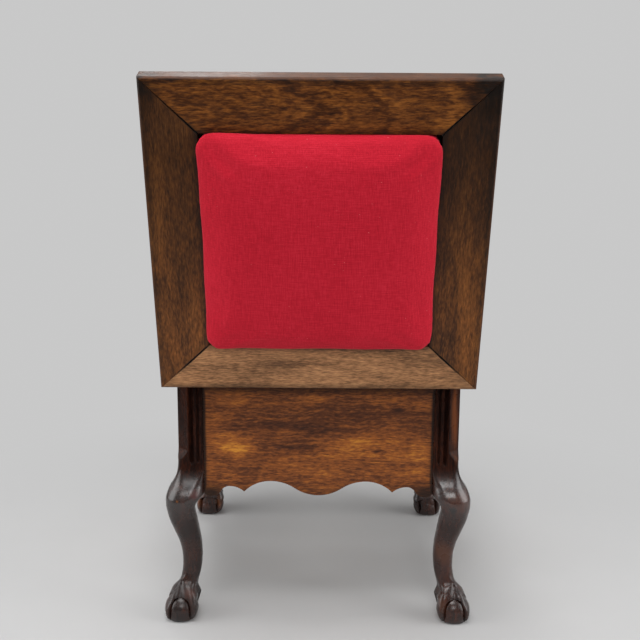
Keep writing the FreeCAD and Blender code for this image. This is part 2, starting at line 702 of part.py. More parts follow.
def pad_crown(side, inset):
    """The crowned part of the pad above the lid's face, over a square of half width side, inset lower."""
    widest = side + PAD_BULGE
    top_half = PAD_CROWN_FLAT / 2
    bulge = lid_face + PAD_BULGE_HEIGHT
    rise = PAD_CROWN_HEIGHT - PAD_BULGE_HEIGHT - inset
    outlines = [rounded_square((0, 0), side, PAD_CORNER, crown_start)]
    for step in range(PAD_STEPS + 1):
        angle = math.radians(90 * step / PAD_STEPS)
        half = top_half + (widest - top_half) * math.cos(angle) ** (2 / PAD_FULLNESS)
        height = bulge + rise * math.sin(angle) ** (2 / PAD_FULLNESS)
        corner = PAD_CORNER + PAD_BULGE + (widest - half) * PAD_CORNER_GROWTH
        outlines.append(rounded_square((0, 0), half, min(corner, half * PAD_ROUNDEST), height))
    return Part.makeLoft(outlines, True, True)


def upright(half, corner, low, high):
    """A straight block with rounded upright edges."""
    return Part.Face(rounded_square((0, 0), half, corner, low)).extrude(Vector(0, 0, high - low))


def seat():
    """The seat pad: board, stuffing, cover and tacks, closed, with the screws that hold it in the lid."""
    cover_side = opening_half - SEAT_PLAY
    fill_side = cover_side - COVER_THICKNESS
    cover_crown = pad_crown(cover_side, 0)
    fill_crown = pad_crown(fill_side, COVER_THICKNESS)
    cover_low = ledge_top + SOFT_PLAY
    board_low = cover_low + COVER_THICKNESS
    board_top = board_low + SEAT_BOARD_THICKNESS
    board = upright(fill_side, PAD_CORNER, board_low, board_top)
    stuffing = fill_crown.fuse(upright(fill_side, PAD_CORNER, board_top, crown_start)).removeSplitter()
    skin = cover_crown.fuse(upright(cover_side, PAD_CORNER, cover_low, crown_start)).removeSplitter()
    hollow = stuffing.fuse(board).removeSplitter()
    under_hole = upright(
        cover_side - COVER_TURN_UNDER, PAD_CORNER, cover_low - CUT_PAST, board_low + CUT_PAST)
    cover = skin.cut(hollow).cut(under_hole)

    tack_line = cover_side - TACK_INSET
    tack_spacing = 2 * tack_line / TACKS_PER_SIDE
    screw_line = opening_half - LEDGE_WIDTH / 2
    tack_places = []
    screw_places = []
    for degrees in SIDES.values():
        turn = FreeCAD.Rotation(Z_AXIS, degrees)
        for x in spaced(TACKS_PER_SIDE, tack_spacing):
            tack_places.append(turn.multVec(Vector(x, -tack_line, cover_low)))
        for x in spaced(SEAT_SCREWS_PER_SIDE, SEAT_SCREW_SPACING):
            screw_places.append(turn.multVec(Vector(x, -screw_line, lid_under)))
    tacks = [placed(tack(), place, Z_AXIS) for place in tack_places]
    tack_holes = [placed(tack(SCREW_PLAY), place, Z_AXIS) for place in tack_places]
    screws, screw_holes = screw_row(SEAT_SCREW_LENGTH, screw_places, Z_AXIS)
    pieces = {
        "seat_board": cut_all(board, tack_holes + screw_holes),
        "seat_stuffing": stuffing,
        "seat_cover": cut_all(cover, tack_holes + screw_holes),
        "cover_tacks": Part.makeCompound(tacks),
        "seat_screws": Part.makeCompound(screws),
    }
    return pieces, screw_holes


def tack(play=0.0):
    """An upholstery tack pointing down, its head above the origin. With play it is the hole for one."""
    head = TACK_HEAD_RADIUS
    shank = TACK_SHANK_RADIUS + play
    return revolved([
        (0, TACK_HEAD_THICKNESS), (head / 2, TACK_HEAD_THICKNESS), (head, 0), (shank, 0),
        (shank, TACK_SHANK_RADIUS - TACK_LENGTH - play), (0, -TACK_LENGTH - play)])


def lid(hinge_cuts):
    """The lid's frame, tongues and seat, closed."""
    pieces, seat_holes = seat()
    tongues = [turned(mitre_tongue(), degrees) for degrees in SIDES.values()]
    slots = [turned(mitre_tongue(SPLINE_PLAY), degrees) for degrees in SIDES.values()]
    pieces["mitre_splines"] = Part.makeCompound(tongues)
    names = {"rear": "lid_rail_rear", "right": "lid_stile_right",
             "front": "lid_rail_front", "left": "lid_stile_left"}
    blank = lid_board()
    for side, name in names.items():
        board = cut_all(turned(blank, SIDES[side]), slots + seat_holes)
        pieces[name] = cut_all(board, hinge_cuts) if side == "rear" else board
    return pieces


def footstool():
    """Every piece of the footstool by name, with the lid standing open."""
    hinge_pieces, cuts = hinges()
    fixed = legs()
    fixed.update(box_sides())
    fixed.update(shoe_rest())
    fixed["panel_rear"] = cut_all(fixed["panel_rear"], cuts[-1])
    moving = lid(cuts[1])
    for name, piece in hinge_pieces.items():
        group = moving if "_lid" in name else fixed
        group[name] = piece
    pieces = dict(fixed)
    for name, piece in moving.items():
        pieces[name] = opened(piece)
    return pieces


os.makedirs("parts", exist_ok=True)
for node, shape in footstool().items():
    solids = shape.Solids
    state = "valid" if shape.isValid() else "NOT VALID"
    print(node, len(solids), state, round(shape.Volume / 1000, 2), "cm3")
    whole = solids[0] if len(solids) == 1 else Part.makeCompound(solids)
    whole.exportStep("parts/" + node + ".step")
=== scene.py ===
import json
import math

import bmesh
import bpy
import numpy as np
from mathutils import Matrix, Vector


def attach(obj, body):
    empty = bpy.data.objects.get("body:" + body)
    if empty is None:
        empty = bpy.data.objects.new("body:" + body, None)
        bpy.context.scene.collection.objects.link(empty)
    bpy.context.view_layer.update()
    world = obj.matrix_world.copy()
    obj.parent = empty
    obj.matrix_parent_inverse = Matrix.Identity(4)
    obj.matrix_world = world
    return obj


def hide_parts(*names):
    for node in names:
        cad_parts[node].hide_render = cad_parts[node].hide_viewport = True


# Metres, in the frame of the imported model: the origin is on the floor under the middle of the box,
# +Z is up and the hinges are on the -Y side. The lid stands open.
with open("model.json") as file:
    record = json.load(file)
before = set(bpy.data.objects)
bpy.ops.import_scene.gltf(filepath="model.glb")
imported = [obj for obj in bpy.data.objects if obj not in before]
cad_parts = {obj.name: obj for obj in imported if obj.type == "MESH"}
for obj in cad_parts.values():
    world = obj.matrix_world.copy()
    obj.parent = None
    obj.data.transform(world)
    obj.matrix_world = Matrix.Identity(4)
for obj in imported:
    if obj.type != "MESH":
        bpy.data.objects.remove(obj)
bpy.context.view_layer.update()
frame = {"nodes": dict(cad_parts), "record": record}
nodes = frame["nodes"]
MM = 0.001

# Camera, at the place and angle of the photograph
CAMERA_PLACE = (0.0033, -1.7038, 0.7966)
CAMERA_PITCH = 12.242  # degrees down
CAMERA_YAW = -0.081  # degrees to the right
CAMERA_ROLL = -0.369
CAMERA_LENS = 58.916
CAMERA_SENSOR = 36.0

# The lid's hinge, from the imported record
hinge = frame["record"]["behaviour"]["joints"][0]
hinge_place = Vector(hinge["pos_m"])
lid_turn = math.radians(-hinge["range_deg"][0])

# Box and lid, in millimetres
BOX_HEIGHT = 397.0
POST_OUTER = 211.75
LID_FACE = 425.3
OPENING_HALF = 156.75
LID_HALF = 229.25

# Carved part of a leg from the floor up, in millimetres: height, distance of its outer and its inner side
# from the middle of the stool, and corner radius
LEG_PROFILE = [
    (0.0, 228.6, 194.0, 15.0),
    (3.0, 232.4, 190.0, 16.0),
    (7.0, 234.6, 187.4, 16.5),
    (14.0, 235.8, 184.6, 16.5),
    (20.0, 235.3, 183.2, 16.0),
    (26.0, 233.7, 181.2, 16.0),
    (32.0, 230.6, 180.4, 15.5),
    (38.0, 228.2, 181.6, 14.5),
    (44.0, 225.2, 183.8, 13.0),
    (50.0, 220.4, 185.0, 12.0),
    (56.0, 215.2, 184.3, 11.5),
    (62.0, 211.7, 183.1, 11.2),
    (72.0, 209.4, 181.0, 11.2),
    (85.0, 208.3, 179.2, 11.5),
    (100.0, 208.8, 178.5, 12.0),
    (120.0, 212.1, 179.4, 13.0),
    (142.0, 219.0, 182.1, 14.5),
    (164.0, 226.2, 185.0, 16.5),
    (180.0, 229.9, 186.9, 17.5),
    (187.0, 230.8, 184.6, 18.0),
    (195.0, 231.0, 178.6, 18.5),
    (203.0, 229.2, 172.6, 18.5),
    (211.0, 225.6, 172.25, 17.5),
    (219.0, 220.2, 172.25, 15.5),
    (227.0, 216.2, 172.25, 13.0),
    (235.0, 213.7, 172.25, 11.5),
    (243.0, 212.3, 172.25, 10.5),
    (252.0, 211.75, 172.25, 10.0),
    (256.0, 211.75, 172.25, 10.0),
]
LEAST_FLAT = 1.0  # half of the least flat that is left on a ring's side
KNEE_ROUND = 5.0  # how much rounder the corners are at the knee
KNEE_STARTS = (158, 186)  # heights between which that comes in
KNEE_ENDS = (204, 232)  # and goes again
POST_STARTS = (214, 246)  # heights between which all but the outer corner get sharp
POST_INNER_ROUND = 1.2  # radius of the sharp corners
POST_CHAMFER = 16.5  # its reach along each face
CHAMFER_STOP_TOP = 274.0
CHAMFER_STOP_LENGTH = 30.0
CHAMFER_RUN_OUT = 12.4  # how far the chamfer has moved outwards at the end of its stop
FLUTE_STOP = 258.0
FLUTE_TAPER = 0.35  # 1 ends a flute in a ball's shape, and less draws its end out
# Flutes: width, depth and distance from the post's outer corner
FLUTES = [(7.0, 3.0, 21.6), (4.6, 2.2, 31.2)]
FLUTED_DEPTH = 0.6  # only points this close to the post's face are sunk
LEG_SIDE_POINTS = 48  # points along each side of a leg's ring
# Heights of a leg's rings: runs of them from, to and how far apart, and single ones up the post
LEG_RINGS = [(0, 80, 1.0), (80, 200, 3.0), (200, 292, 1.5)]
POST_RINGS = [292, 320, 350, BOX_HEIGHT - 0.6, BOX_HEIGHT]
LEG_SHARP_ANGLE = 55.0  # edges sharper than this stay sharp

# Ball and claws
BALL_RADIUS = 26.0
BALL_HEIGHT = 15.0
BALL_PLACE = 210.2  # from the middle of the stool, both ways
WINDOW_ANGLE = 38.0  # half of the opening between two claws, seen from above, in degrees
WINDOW_SPRING = 19.0  # where the opening's arch starts
WINDOW_TOP = 37.5
WINDOW_ROUNDNESS = 4.0  # 2 makes the arch an ellipse, and more makes it squarer
WINDOW_FLARE = 13.0  # how much wider the opening is on each side at the floor, in degrees
WINDOW_FLARE_HEIGHT = 14.0
WINDOW_SOFTNESS = 2.0  # of its edge, in degrees
WINDOW_CLOSES = 0.15  # share of the arch's width under which the opening runs out
WINDOW_DEPTH = 6.0  # the most that the foot is cut back to show the ball
GROOVE_DEPTH = 1.3  # round the ball, along the claws
GROOVE_STARTS = 9.0  # from the opening's edge, in degrees
GROOVE_FULL = 1.0
HOLLOW_DEPTH = 4.2  # between the sinews above the ball
HOLLOW_TOP = 74.0  # where the hollows start
HOLLOW_MIDDLE = 46.0  # from here down to the openings they are at their full depth

# Seat pad
PAD_VOXEL = 0.005  # size of its squares before the swelling, in metres
PAD_PRESSURE = 4.0
PAD_FRAMES = 20
PAD_MOVE_CAP = 0.003  # the most that the swelling moves a point, in metres
PAD_CLOTH = {"mass": 0.3, "tension_stiffness": 15, "compression_stiffness": 15, "bending_stiffness": 0.5}
PAD_RELAX = 8  # rounds of smoothing after the swelling
PAD_RELAX_FACTOR = 0.5
PAD_SWELL = 3.4  # how far its edges stand out after that, in millimetres
PAD_PULL_IN = 1.6  # and are drawn in between the corners
PAD_PULL_POWER = 2.5  # more keeps them drawn in closer to the corners
PAD_WAVE = 0.5  # and waver
PAD_WAVE_LENGTH = 17.0  # millimetres for each radian of the wave
PAD_WAVE_SHIFT = 2.0
PAD_FULL_CORNER = (-1, 1)  # the corner that is stuffed fullest: its side of the middle both ways
PAD_CORNER_SWELL = 2.6
PAD_DOME = 8.0  # how much higher the middle is
PAD_EDGE_ZONE = 30.0  # width of the edge that moves
PAD_RISE = 4.0  # height over the lid's face from which all this is at its full amount
COVER_HALF = 156.15
COVER_THICKNESS = 1.2
COVER_TURN_UNDER = 25.0
COVER_LOW = 405.4
COVER_CORNER = 20.0
COVER_FOLD = 1.0  # how much is taken off the fold at its lower edge
COVER_SIDE_POINTS = 24
COVER_SHARP_ANGLE = 50.0
CROWN_START = 425.4

# Pieces whose edges are taken off, by the start of their names, and by how much in metres
SOFTENED = ("panel_", "shoe_rest_s", "shoe_rest_p")
EDGE_SOFTNESS = 0.0006
EDGE_SEGMENTS = 2
EDGE_ANGLE = 40.0
WELD_DISTANCE = 1e-5

# Figure of the woods and the cloth: noise scales along and across the grain or thread, per metre
BROAD_SCALE = (1.0, 5.0)
LINE_SCALE = (2.2, 30.0)
MOTTLED_LINES = 6.0  # added to the lines' scale along the grain at full mottle
FINE_SCALE = (110.0, 500.0)
PORE_SCALE = (45.0, 620.0)
PORE_LEVELS = (0.56, 0.7)  # noise levels at which a pore starts and is at its deepest
PORE_DEPTH = 0.00012  # in metres
PANEL_WAVE = (14.0, 30.0)
PANEL_SWAY = 10.0  # how far the wave bends the panel's grain, in millimetres
PANEL_BROAD = (5.0, 22.0)
PANEL_STREAKS = (14.0, 250.0)
PANEL_DASHES = (130.0, 520.0)
CLOTH_SLUBS = (60.0, 700.0)

# Figure of the lid's front rail: the line that its arched rings lie about, in millimetres
ARCH_MIDDLE = 188.0
ARCH_START = -150.0  # where its arches start, along the rail
ARCH_SLOPE = 0.26  # width of an arch for its length
ARCH_SEED = 2.3
ARCH_DRIFT = 30.0  # how far the middle line wanders
ARCH_WOBBLE = 24.0  # how far a ring does
ARCH_RINGS = 160.0  # noise scale across the rings, per metre

# Colours along a wood's or the cloth's tone: position and colour
LID_FRONT_COLOURS = [
    (0.36, (0.022, 0.0065, 0.002)), (0.45, (0.07, 0.021, 0.0045)), (0.53, (0.17, 0.054, 0.01)),
    (0.62, (0.33, 0.115, 0.019)),
]
LID_REAR_COLOURS = [
    (0.36, (0.105, 0.048, 0.022)), (0.45, (0.255, 0.122, 0.053)), (0.53, (0.47, 0.225, 0.098)),
    (0.62, (0.65, 0.34, 0.15)),
]
LID_SIDE_COLOURS = [
    (0.36, (0.027, 0.0095, 0.0034)), (0.45, (0.09, 0.031, 0.0078)), (0.53, (0.19, 0.064, 0.014)),
    (0.62, (0.34, 0.12, 0.025)),
]
PANEL_COLOURS = [
    (0.34, (0.04, 0.0125, 0.0055)), (0.45, (0.11, 0.033, 0.0105)), (0.52, (0.215, 0.064, 0.0155)),
    (0.6, (0.36, 0.112, 0.02)), (0.72, (0.64, 0.26, 0.033)),
]
LEG_COLOURS = [
    (0.36, (0.006, 0.0026, 0.002)), (0.47, (0.014, 0.005, 0.0034)), (0.56, (0.036, 0.0105, 0.0055)),
    (0.68, (0.085, 0.021, 0.0078)),
]
INNER_COLOURS = [(0.36, (0.12, 0.06, 0.028)), (0.5, (0.22, 0.12, 0.058)), (0.64, (0.33, 0.2, 0.105))]
CLOTH_COLOURS = [(0.36, (0.51, 0.008, 0.023)), (0.5, (0.62, 0.012, 0.032)), (0.64, (0.71, 0.022, 0.048))]

# Single colours
EDGE_COLOUR = (0.13, 0.04, 0.009)  # of the lid's outer edges
PORE_COLOUR = (0.008, 0.004, 0.003)
# dark colour of dirt, and of the painted shade and painted reflection on the lid and panels
DIRT_AND_SHADE_COLOUR = (0.006, 0.004, 0.003)
# dirt and painted shade in the legs' flutes and in the grooves round the balls
HOLLOW_COLOUR = (0.003, 0.002, 0.002)
STAIN_COLOUR = (0.05, 0.03, 0.02)
LINT_COLOUR = (0.85, 0.3, 0.32)
SHEEN_COLOUR = (1.0, 0.35, 0.4)

# The lid's side boards are painted darker towards the front, a painted reflection: that end mirrors the dim
# far floor rather than the bright near one. In millimetres
PAINTED_REFLECTION_FROM_Y = -170.0
PAINTED_REFLECTION_TO_Y = 180.0

# Dirt and painted shade on the lid: between which distances from the middle they come or go, in millimetres
MITRE_DIRT = (1.2, 3.0)  # from the mitre
MITRE_FADES = (OPENING_HALF + 25, LID_HALF - 12)
CORNER_DIRT = (25, 75)  # from a corner at the right
CORNER_LEFT = 1.8  # how much narrower it is at the left
CORNER_SIDES = (-50, 50)  # where the left goes over to the right
CORNER_FRONT = (0, 100)  # where the rear goes over to the front
# painted shade under the pad's overhanging edge, round the seat
SEAT_SHADE = (OPENING_HALF, OPENING_HALF + 11)
OUTER_DIRT = (LID_HALF - 13, LID_HALF - 5)
LID_EDGE = (LID_HALF - 3, LID_HALF - 1)  # where the colour of the lid's edges starts

# Darkening on the panels, in millimetres: painted shade under the rim and at the posts, and darker along the
# lower edge and in the end lobes
RIM_SHADE = (355, 367)
LOW_DARKENING = (198, 225)
POST_SHADE = (166.5, 170.5)
LOBE_DARKENING = (115, 160)
LOBE_HEIGHT = (205, 225)

# Patches on the rear panel, in millimetres: middle and reach, each along X and up, and lighter or darker
PANEL_FACE = -209
PATCH_DEPTH = 30
PANEL_PATCHES = [
    ((-128, 276), (54, 26), 0.09),
    ((-126, 273), (32, 16), 0.1),
    ((-130, 347), (40, 12), 0.07),
    ((-13, 350), (40, 12), 0.06),
    ((59, 284), (34, 9), 0.05),
    ((-10, 238), (50, 9), 0.07),
    ((150, 265), (20, 45), 0.04),
    ((-70, 309), (110, 11), -0.06),
    ((-27, 276), (50, 12), -0.07),
    ((16, 301), (60, 12), -0.06),
    ((93, 270), (18, 5), -0.1),
    ((120, 335), (14, 5), -0.14),
]

# Wear on the legs, with painted shade under a knee and painted highlights on a foot's claws, in millimetres:
# middle, reach along each axis, amount and tint
LEG_WEAR_AND_PAINTED_LIGHT = [
    ((-211, -231, 197), (3, 6, 3), 0.6, (0.2, 0.07, 0.015)),
    ((-186, -225, 206), (10, 12, 10), 0.5, (0.1, 0.012, 0.008)),
    ((206, -206, 322), (11, 11, 90), 0.85, (0.15, 0.042, 0.012)),
    ((212, -222, 197), (24, 24, 22), 0.6, (0.085, 0.022, 0.009)),
    ((196, -200, 120), (34, 34, 70), 0.6, (0.05, 0.016, 0.01)),
    ((192, -208, 108), (22, 16, 26), 0.7, (0.09, 0.03, 0.012)),
    # painted shade under the right rear knee's bulge
    ((203, -229, 186), (9, 14, 7), 0.9, (0.004, 0.003, 0.003)),
    ((-196, -208, 112), (22, 16, 30), 0.4, (0.06, 0.018, 0.01)),
    # painted highlights on the front left foot's claws
    ((-190, 190, 28), (9, 16, 18), 0.85, (0.16, 0.052, 0.017)),
    ((-230, 192, 28), (9, 16, 18), 0.85, (0.16, 0.052, 0.017)),
    ((190, -225, 30), (12, 20, 16), 0.5, (0.09, 0.03, 0.012)),
    ((-196, -226, 46), (14, 14, 10), 0.5, (0.09, 0.025, 0.014)),
]

# Polish of the legs from the floor up: where each change starts and ends, in metres, and the gloss after it
LEG_POLISH = [(0.0, 0.0, 0.58), (0.05, 0.08, 0.5), (0.15, 0.205, 1.0), (0.215, 0.25, 0.08)]

# Floor and backdrop, in metres from the middle of the object, and their tones
FLOOR_TONE = 0.53
FLOOR_UNEVEN = 0.01
# painted shade: the floor far off is dark, for light falling off away from the lamps, seen only in
# reflections
FLOOR_FAR_TONE = (0.05, 0.05, 0.05)
FLOOR_RADIUS = 14.0
FLOOR_SIDES = 96
FLOOR_FADE = 0.4  # where the backdrop starts to take over, for the camera
FLOOR_NEAR = 0.9
FLOOR_FAR = 1.5
BACKDROP = (0.58, 0.58, 0.58)
SURROUNDING = (0.3, 0.3, 0.3)

# Lamps: name, place, size in metres and power in watts
LAMP_TARGET = (0, 0, 0.4)
LAMPS = [
    ("overhead", (-0.2, -0.75, 2.6), (1.3, 1.4), 39),
    ("front", (0.1, -3.0, 2.0), (1.3, 1.0), 22.5),
    ("left", (-1.8, -0.5, 0.9), (1.4, 1.6), 18),
    ("right", (1.8, -0.5, 0.9), (1.4, 1.6), 20),
    ("behind", (-0.38, 1.8, 2.2), (0.5, 0.35), 6),
]

# Sockets of a node that mixes colours, by number
MIX_AMOUNT, MIX_FIRST, MIX_SECOND, MIX_RESULT = 0, 6, 7, 2


def smooth_curve(places, values):
    """A function that runs smoothly through the values and doesn't overshoot between them."""
    places = np.array(places, float)
    values = np.array(values, float)
    steps = np.diff(places)
    slopes = np.diff(values) / steps
    product = slopes[:-1] * slopes[1:]
    total = slopes[:-1] + slopes[1:]
    inner = np.where(product > 0, 2 * product / np.where(total == 0, 1, total), 0)
    tangents = np.concatenate([slopes[:1], inner, slopes[-1:]])

    def value_at(place):
        index = np.clip(np.searchsorted(places, place) - 1, 0, len(steps) - 1)
        step = steps[index]
        t = np.clip((place - places[index]) / step, 0, 1)
        start, end = values[index], values[index + 1]
        leave, arrive = tangents[index] * step, tangents[index + 1] * step
        return (
            (2 * t ** 3 - 3 * t ** 2 + 1) * start + (t ** 3 - 2 * t ** 2 + t) * leave
            + (3 * t ** 2 - 2 * t ** 3) * end + (t ** 3 - t ** 2) * arrive
        )

    return value_at


def soft_step(low, high, value):
    """0 up to low, 1 from high on, and a smooth change between them. Low may be the larger one."""
    t = np.clip((value - low) / (high - low), 0, 1)
    return t * t * (3 - 2 * t)


def square_outline(per_side):
    """Points round a square of half width 1, counter-clockwise."""
    along = -1 + 2 * (np.arange(per_side) + 0.5) / per_side
    ones = np.ones(per_side)
    sides = [(ones, along), (-along, ones), (-ones, -along), (along, -ones)]
    return np.concatenate([np.stack(side, axis=1) for side in sides])


def rounded_outline(square, half, corner):
    """The square at a half width with rounded corners. corner may differ from point to point."""
    flat = np.broadcast_to(np.reshape(half - corner, (-1, 1)), (len(square), 1))
    points = square * half
    core = np.clip(points, -flat, flat)
    out = points - core
    longest = np.abs(out).max(axis=1, keepdims=True)
    length = np.maximum(np.linalg.norm(out, axis=1, keepdims=True), 1e-9)
    return core + out * longest / length


def new_object(name, data):
    """An object for a mesh, a lamp or a camera, in the scene."""
    made = bpy.data.objects.new(name, data)
    bpy.context.scene.collection.objects.link(made)
    return made


def mesh_from_loops(name, loops, closed=False):
    """A mesh skinned over loops with the same number of points. The ends are capped, or joined if closed."""
    count = len(loops[0])
    points = np.concatenate(loops) * MM
    faces = []
    for ring in range(len(loops) if closed else len(loops) - 1):
        low = ring * count
        high = (ring + 1) % len(loops) * count
        for k in range(count):
            following = (k + 1) % count
            faces.append((low + k, low + following, high + following, high + k))
    if not closed:
        faces.append(tuple(reversed(range(count))))
        faces.append(tuple(range((len(loops) - 1) * count, len(loops) * count)))
    mesh = bpy.data.meshes.new(name)
    mesh.from_pydata(points.tolist(), [], faces)
    mesh.polygons.foreach_set("use_smooth", [True] * len(mesh.polygons))
    return mesh


def about_hinge(points, angle):
    """Points turned about the lid's hinge."""
    turn = np.array(Matrix.Rotation(angle, 3, "X"))
    return (points - np.array(hinge_place)) @ turn.T + np.array(hinge_place)


def to_open_lid(points):
    """Points of the closed lid, turned to where it stands open."""
    return about_hinge(points, lid_turn)


def to_closed_lid(points):
    """Points of the open lid, turned back to where they are when it is closed."""
    return about_hinge(points, -lid_turn)


def mesh_points(mesh):
    """The places of a mesh's points as an array."""
    flat = np.empty(len(mesh.vertices) * 3)
    mesh.vertices.foreach_get("co", flat)
    return flat.reshape(-1, 3)


def set_points(mesh, points):
    """Moves a mesh's points to new places."""
    mesh.vertices.foreach_set("co", points.ravel())
    mesh.update()


def at_height(outline, height):
    """The points of an outline at a height."""
    return np.column_stack([outline, np.full(len(outline), height)])


def foot_relief(outline, height):
    """A foot's outline cut back between its four claws, so that the ball shows, and hollowed above it.

    Also gives how deep each point lies in the groove round the ball, from 0 to 1.
    """
    from_ball = outline - BALL_PLACE
    reach = np.linalg.norm(from_ball, axis=1)
    angle = np.degrees(np.arctan2(from_ball[:, 1], from_ball[:, 0]))
    off_axis = np.abs((angle + 45) % 90 - 45)
    ball = math.sqrt(max(BALL_RADIUS ** 2 - (height - BALL_HEIGHT) ** 2, 0))
    up_arch = min(max((height - WINDOW_SPRING) / (WINDOW_TOP - WINDOW_SPRING), 0), 1)
    arch = (1 - up_arch ** WINDOW_ROUNDNESS) ** (1 / WINDOW_ROUNDNESS)
    flare = WINDOW_FLARE * max(1 - height / WINDOW_FLARE_HEIGHT, 0) ** 2
    window = WINDOW_ANGLE * arch + flare
    inside = 1 - soft_step(window - WINDOW_SOFTNESS, window + WINDOW_SOFTNESS, off_axis)
    inside = inside * soft_step(0, WINDOW_CLOSES, arch)
    groove = soft_step(window - GROOVE_STARTS, window - GROOVE_FULL, off_axis)
    shown = np.minimum(reach, np.maximum(ball, reach - WINDOW_DEPTH)) - GROOVE_DEPTH * groove
    cut = reach + (shown - reach) * inside
    hollow = soft_step(HOLLOW_TOP, HOLLOW_MIDDLE, height) * (1 - inside)
    hollow = hollow * soft_step(BALL_HEIGHT, WINDOW_TOP, height)
    cut = cut - HOLLOW_DEPTH * hollow * np.cos(np.radians(2 * off_axis)) ** 2
    return BALL_PLACE + from_ball * (cut / reach)[:, None], groove ** 2 * inside


def post_relief(outline, height):
    """A post's outline with its chamfered outer corner and its stopped flutes.

    Also gives how deep each point lies in a flute, as a share of the deeper one's depth.
    """
    diagonal = np.array([1, 1]) / math.sqrt(2)
    full = POST_OUTER * math.sqrt(2) - POST_CHAMFER / math.sqrt(2)
    run_out = CHAMFER_RUN_OUT * soft_step(0, CHAMFER_STOP_LENGTH, CHAMFER_STOP_TOP - height)
    past = outline @ diagonal - (full + run_out)
    outline = outline - np.maximum(past, 0)[:, None] * diagonal
    deep = np.zeros(len(outline))
    for width, depth, inset in FLUTES:
        radius = (width ** 2 / 4 + depth ** 2) / (2 * depth)
        below = FLUTE_TAPER * max(FLUTE_STOP - height, 0)
        for across, out in ((0, 1), (1, 0)):
            aside = outline[:, across] - (POST_OUTER - inset)
            room = np.maximum(radius ** 2 - aside ** 2 - below ** 2, 0)
            sunk = np.maximum(np.sqrt(room) - (radius - depth), 0)
            sunk = np.where(outline[:, out] > POST_OUTER - FLUTED_DEPTH, sunk, 0)
            outline[:, out] -= sunk
            deep = np.maximum(deep, sunk / FLUTES[0][1])
    return outline, deep


def leg_heights():
    """Heights of the rings of a leg: closest in the foot and where the post's details stop."""
    return np.concatenate([np.arange(*run) for run in LEG_RINGS] + [POST_RINGS])


def leg_loops():
    """The rings of the leg at +X and +Y, from the floor to the box's rim, and how much dirt and painted shade
    lie in its hollows.
    """
    heights, outer, inner, corner = zip(*LEG_PROFILE)
    outer_at = smooth_curve(heights, outer)
    inner_at = smooth_curve(heights, inner)
    corner_at = smooth_curve(heights, corner)
    square = square_outline(LEG_SIDE_POINTS)
    at_outer_corner = (square > 0).all(axis=1)
    loops = []
    dirt_and_shade = []
    for height in leg_heights():
        far, near = outer_at(height), inner_at(height)
        half = (far - near) / 2
        knee = soft_step(*KNEE_STARTS, height) * (1 - soft_step(*KNEE_ENDS, height))
        corner = min(corner_at(height) + KNEE_ROUND * knee, half - LEAST_FLAT)
        squared = soft_step(*POST_STARTS, height)
        other_corners = corner * (1 - squared) + POST_INNER_ROUND * squared
        corners = np.where(at_outer_corner, corner, other_corners)
        outline = (far + near) / 2 + rounded_outline(square, half, corners)
        deep = np.zeros(len(outline))
        if height < HOLLOW_TOP:
            outline, deep = foot_relief(outline, height)
        if height > CHAMFER_STOP_TOP - CHAMFER_STOP_LENGTH:
            outline, deep = post_relief(outline, height)
        loops.append(at_height(outline, height))
        dirt_and_shade.append(deep)
    return loops, dirt_and_shade


def make_legs(material):
    """The four carved legs, each mirrored from the one at +X and +Y."""
    loops, dirt_and_shade = leg_loops()
    for name, x, y in (
        ("front_right", 1, 1), ("front_left", -1, 1), ("rear_right", 1, -1), ("rear_left", -1, -1),
    ):
        order = 1 if x * y > 0 else -1
        mirrored = [(loop * (x, y, 1))[::order] for loop in loops]
        mesh = mesh_from_loops("carved_leg_" + name, mirrored)
        mesh.set_sharp_from_angle(angle=math.radians(LEG_SHARP_ANGLE))
        in_hollows = mesh.attributes.new("dirt_and_shade", "FLOAT", "POINT")
        in_hollows.data.foreach_set("value", np.concatenate([deep[::order] for deep in dirt_and_shade]))
        leg = new_object("carved_leg_" + name, mesh)
        leg.data.materials.append(material)
        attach(leg, "base")
        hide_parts("leg_" + name)


def settled_mesh(thing):
    """A thing's mesh with its modifiers applied."""
    graph = bpy.context.evaluated_depsgraph_get()
    return bpy.data.meshes.new_from_object(thing.evaluated_get(graph))


def replace_mesh(thing, mesh):
    """Gives a thing a finished mesh and takes its modifiers off."""
    thing.modifiers.clear()
    thing.data = mesh


def apply_modifier(thing, kind, **settings):
    """Gives a thing a modifier with its settings and applies it."""
    modifier = thing.modifiers.new(kind.lower(), kind)
    for name, value in settings.items():
        setattr(modifier, name, value)
    replace_mesh(thing, settled_mesh(thing))


def blown_up(pad):
    """Swells the pad as cloth under pressure, held below the lid's face. No point moves past the cap."""
    start = mesh_points(pad.data)
    height = to_closed_lid(start)[:, 2]
    held = pad.vertex_groups.new(name="held")
    held.add([int(k) for k in np.flatnonzero(height < LID_FACE * MM)], 1.0, "REPLACE")
    cloth = pad.modifiers.new("cloth", "CLOTH")
    cloth.settings.vertex_group_mass = "held"
    cloth.settings.use_pressure = True
    cloth.settings.uniform_pressure_force = PAD_PRESSURE
    cloth.settings.effector_weights.gravity = 0
    for name, value in PAD_CLOTH.items():
        setattr(cloth.settings, name, value)
    cloth.point_cache.frame_start = 1
    cloth.point_cache.frame_end = PAD_FRAMES
    for number in range(1, PAD_FRAMES + 1):
        bpy.context.scene.frame_set(number)
    swollen = settled_mesh(pad)
    moved = mesh_points(swollen) - start
    length = np.maximum(np.linalg.norm(moved, axis=1, keepdims=True), 1e-9)
    replace_mesh(pad, swollen)
    bpy.context.scene.frame_set(1)
    return start + moved * np.minimum(1, PAD_MOVE_CAP / length)


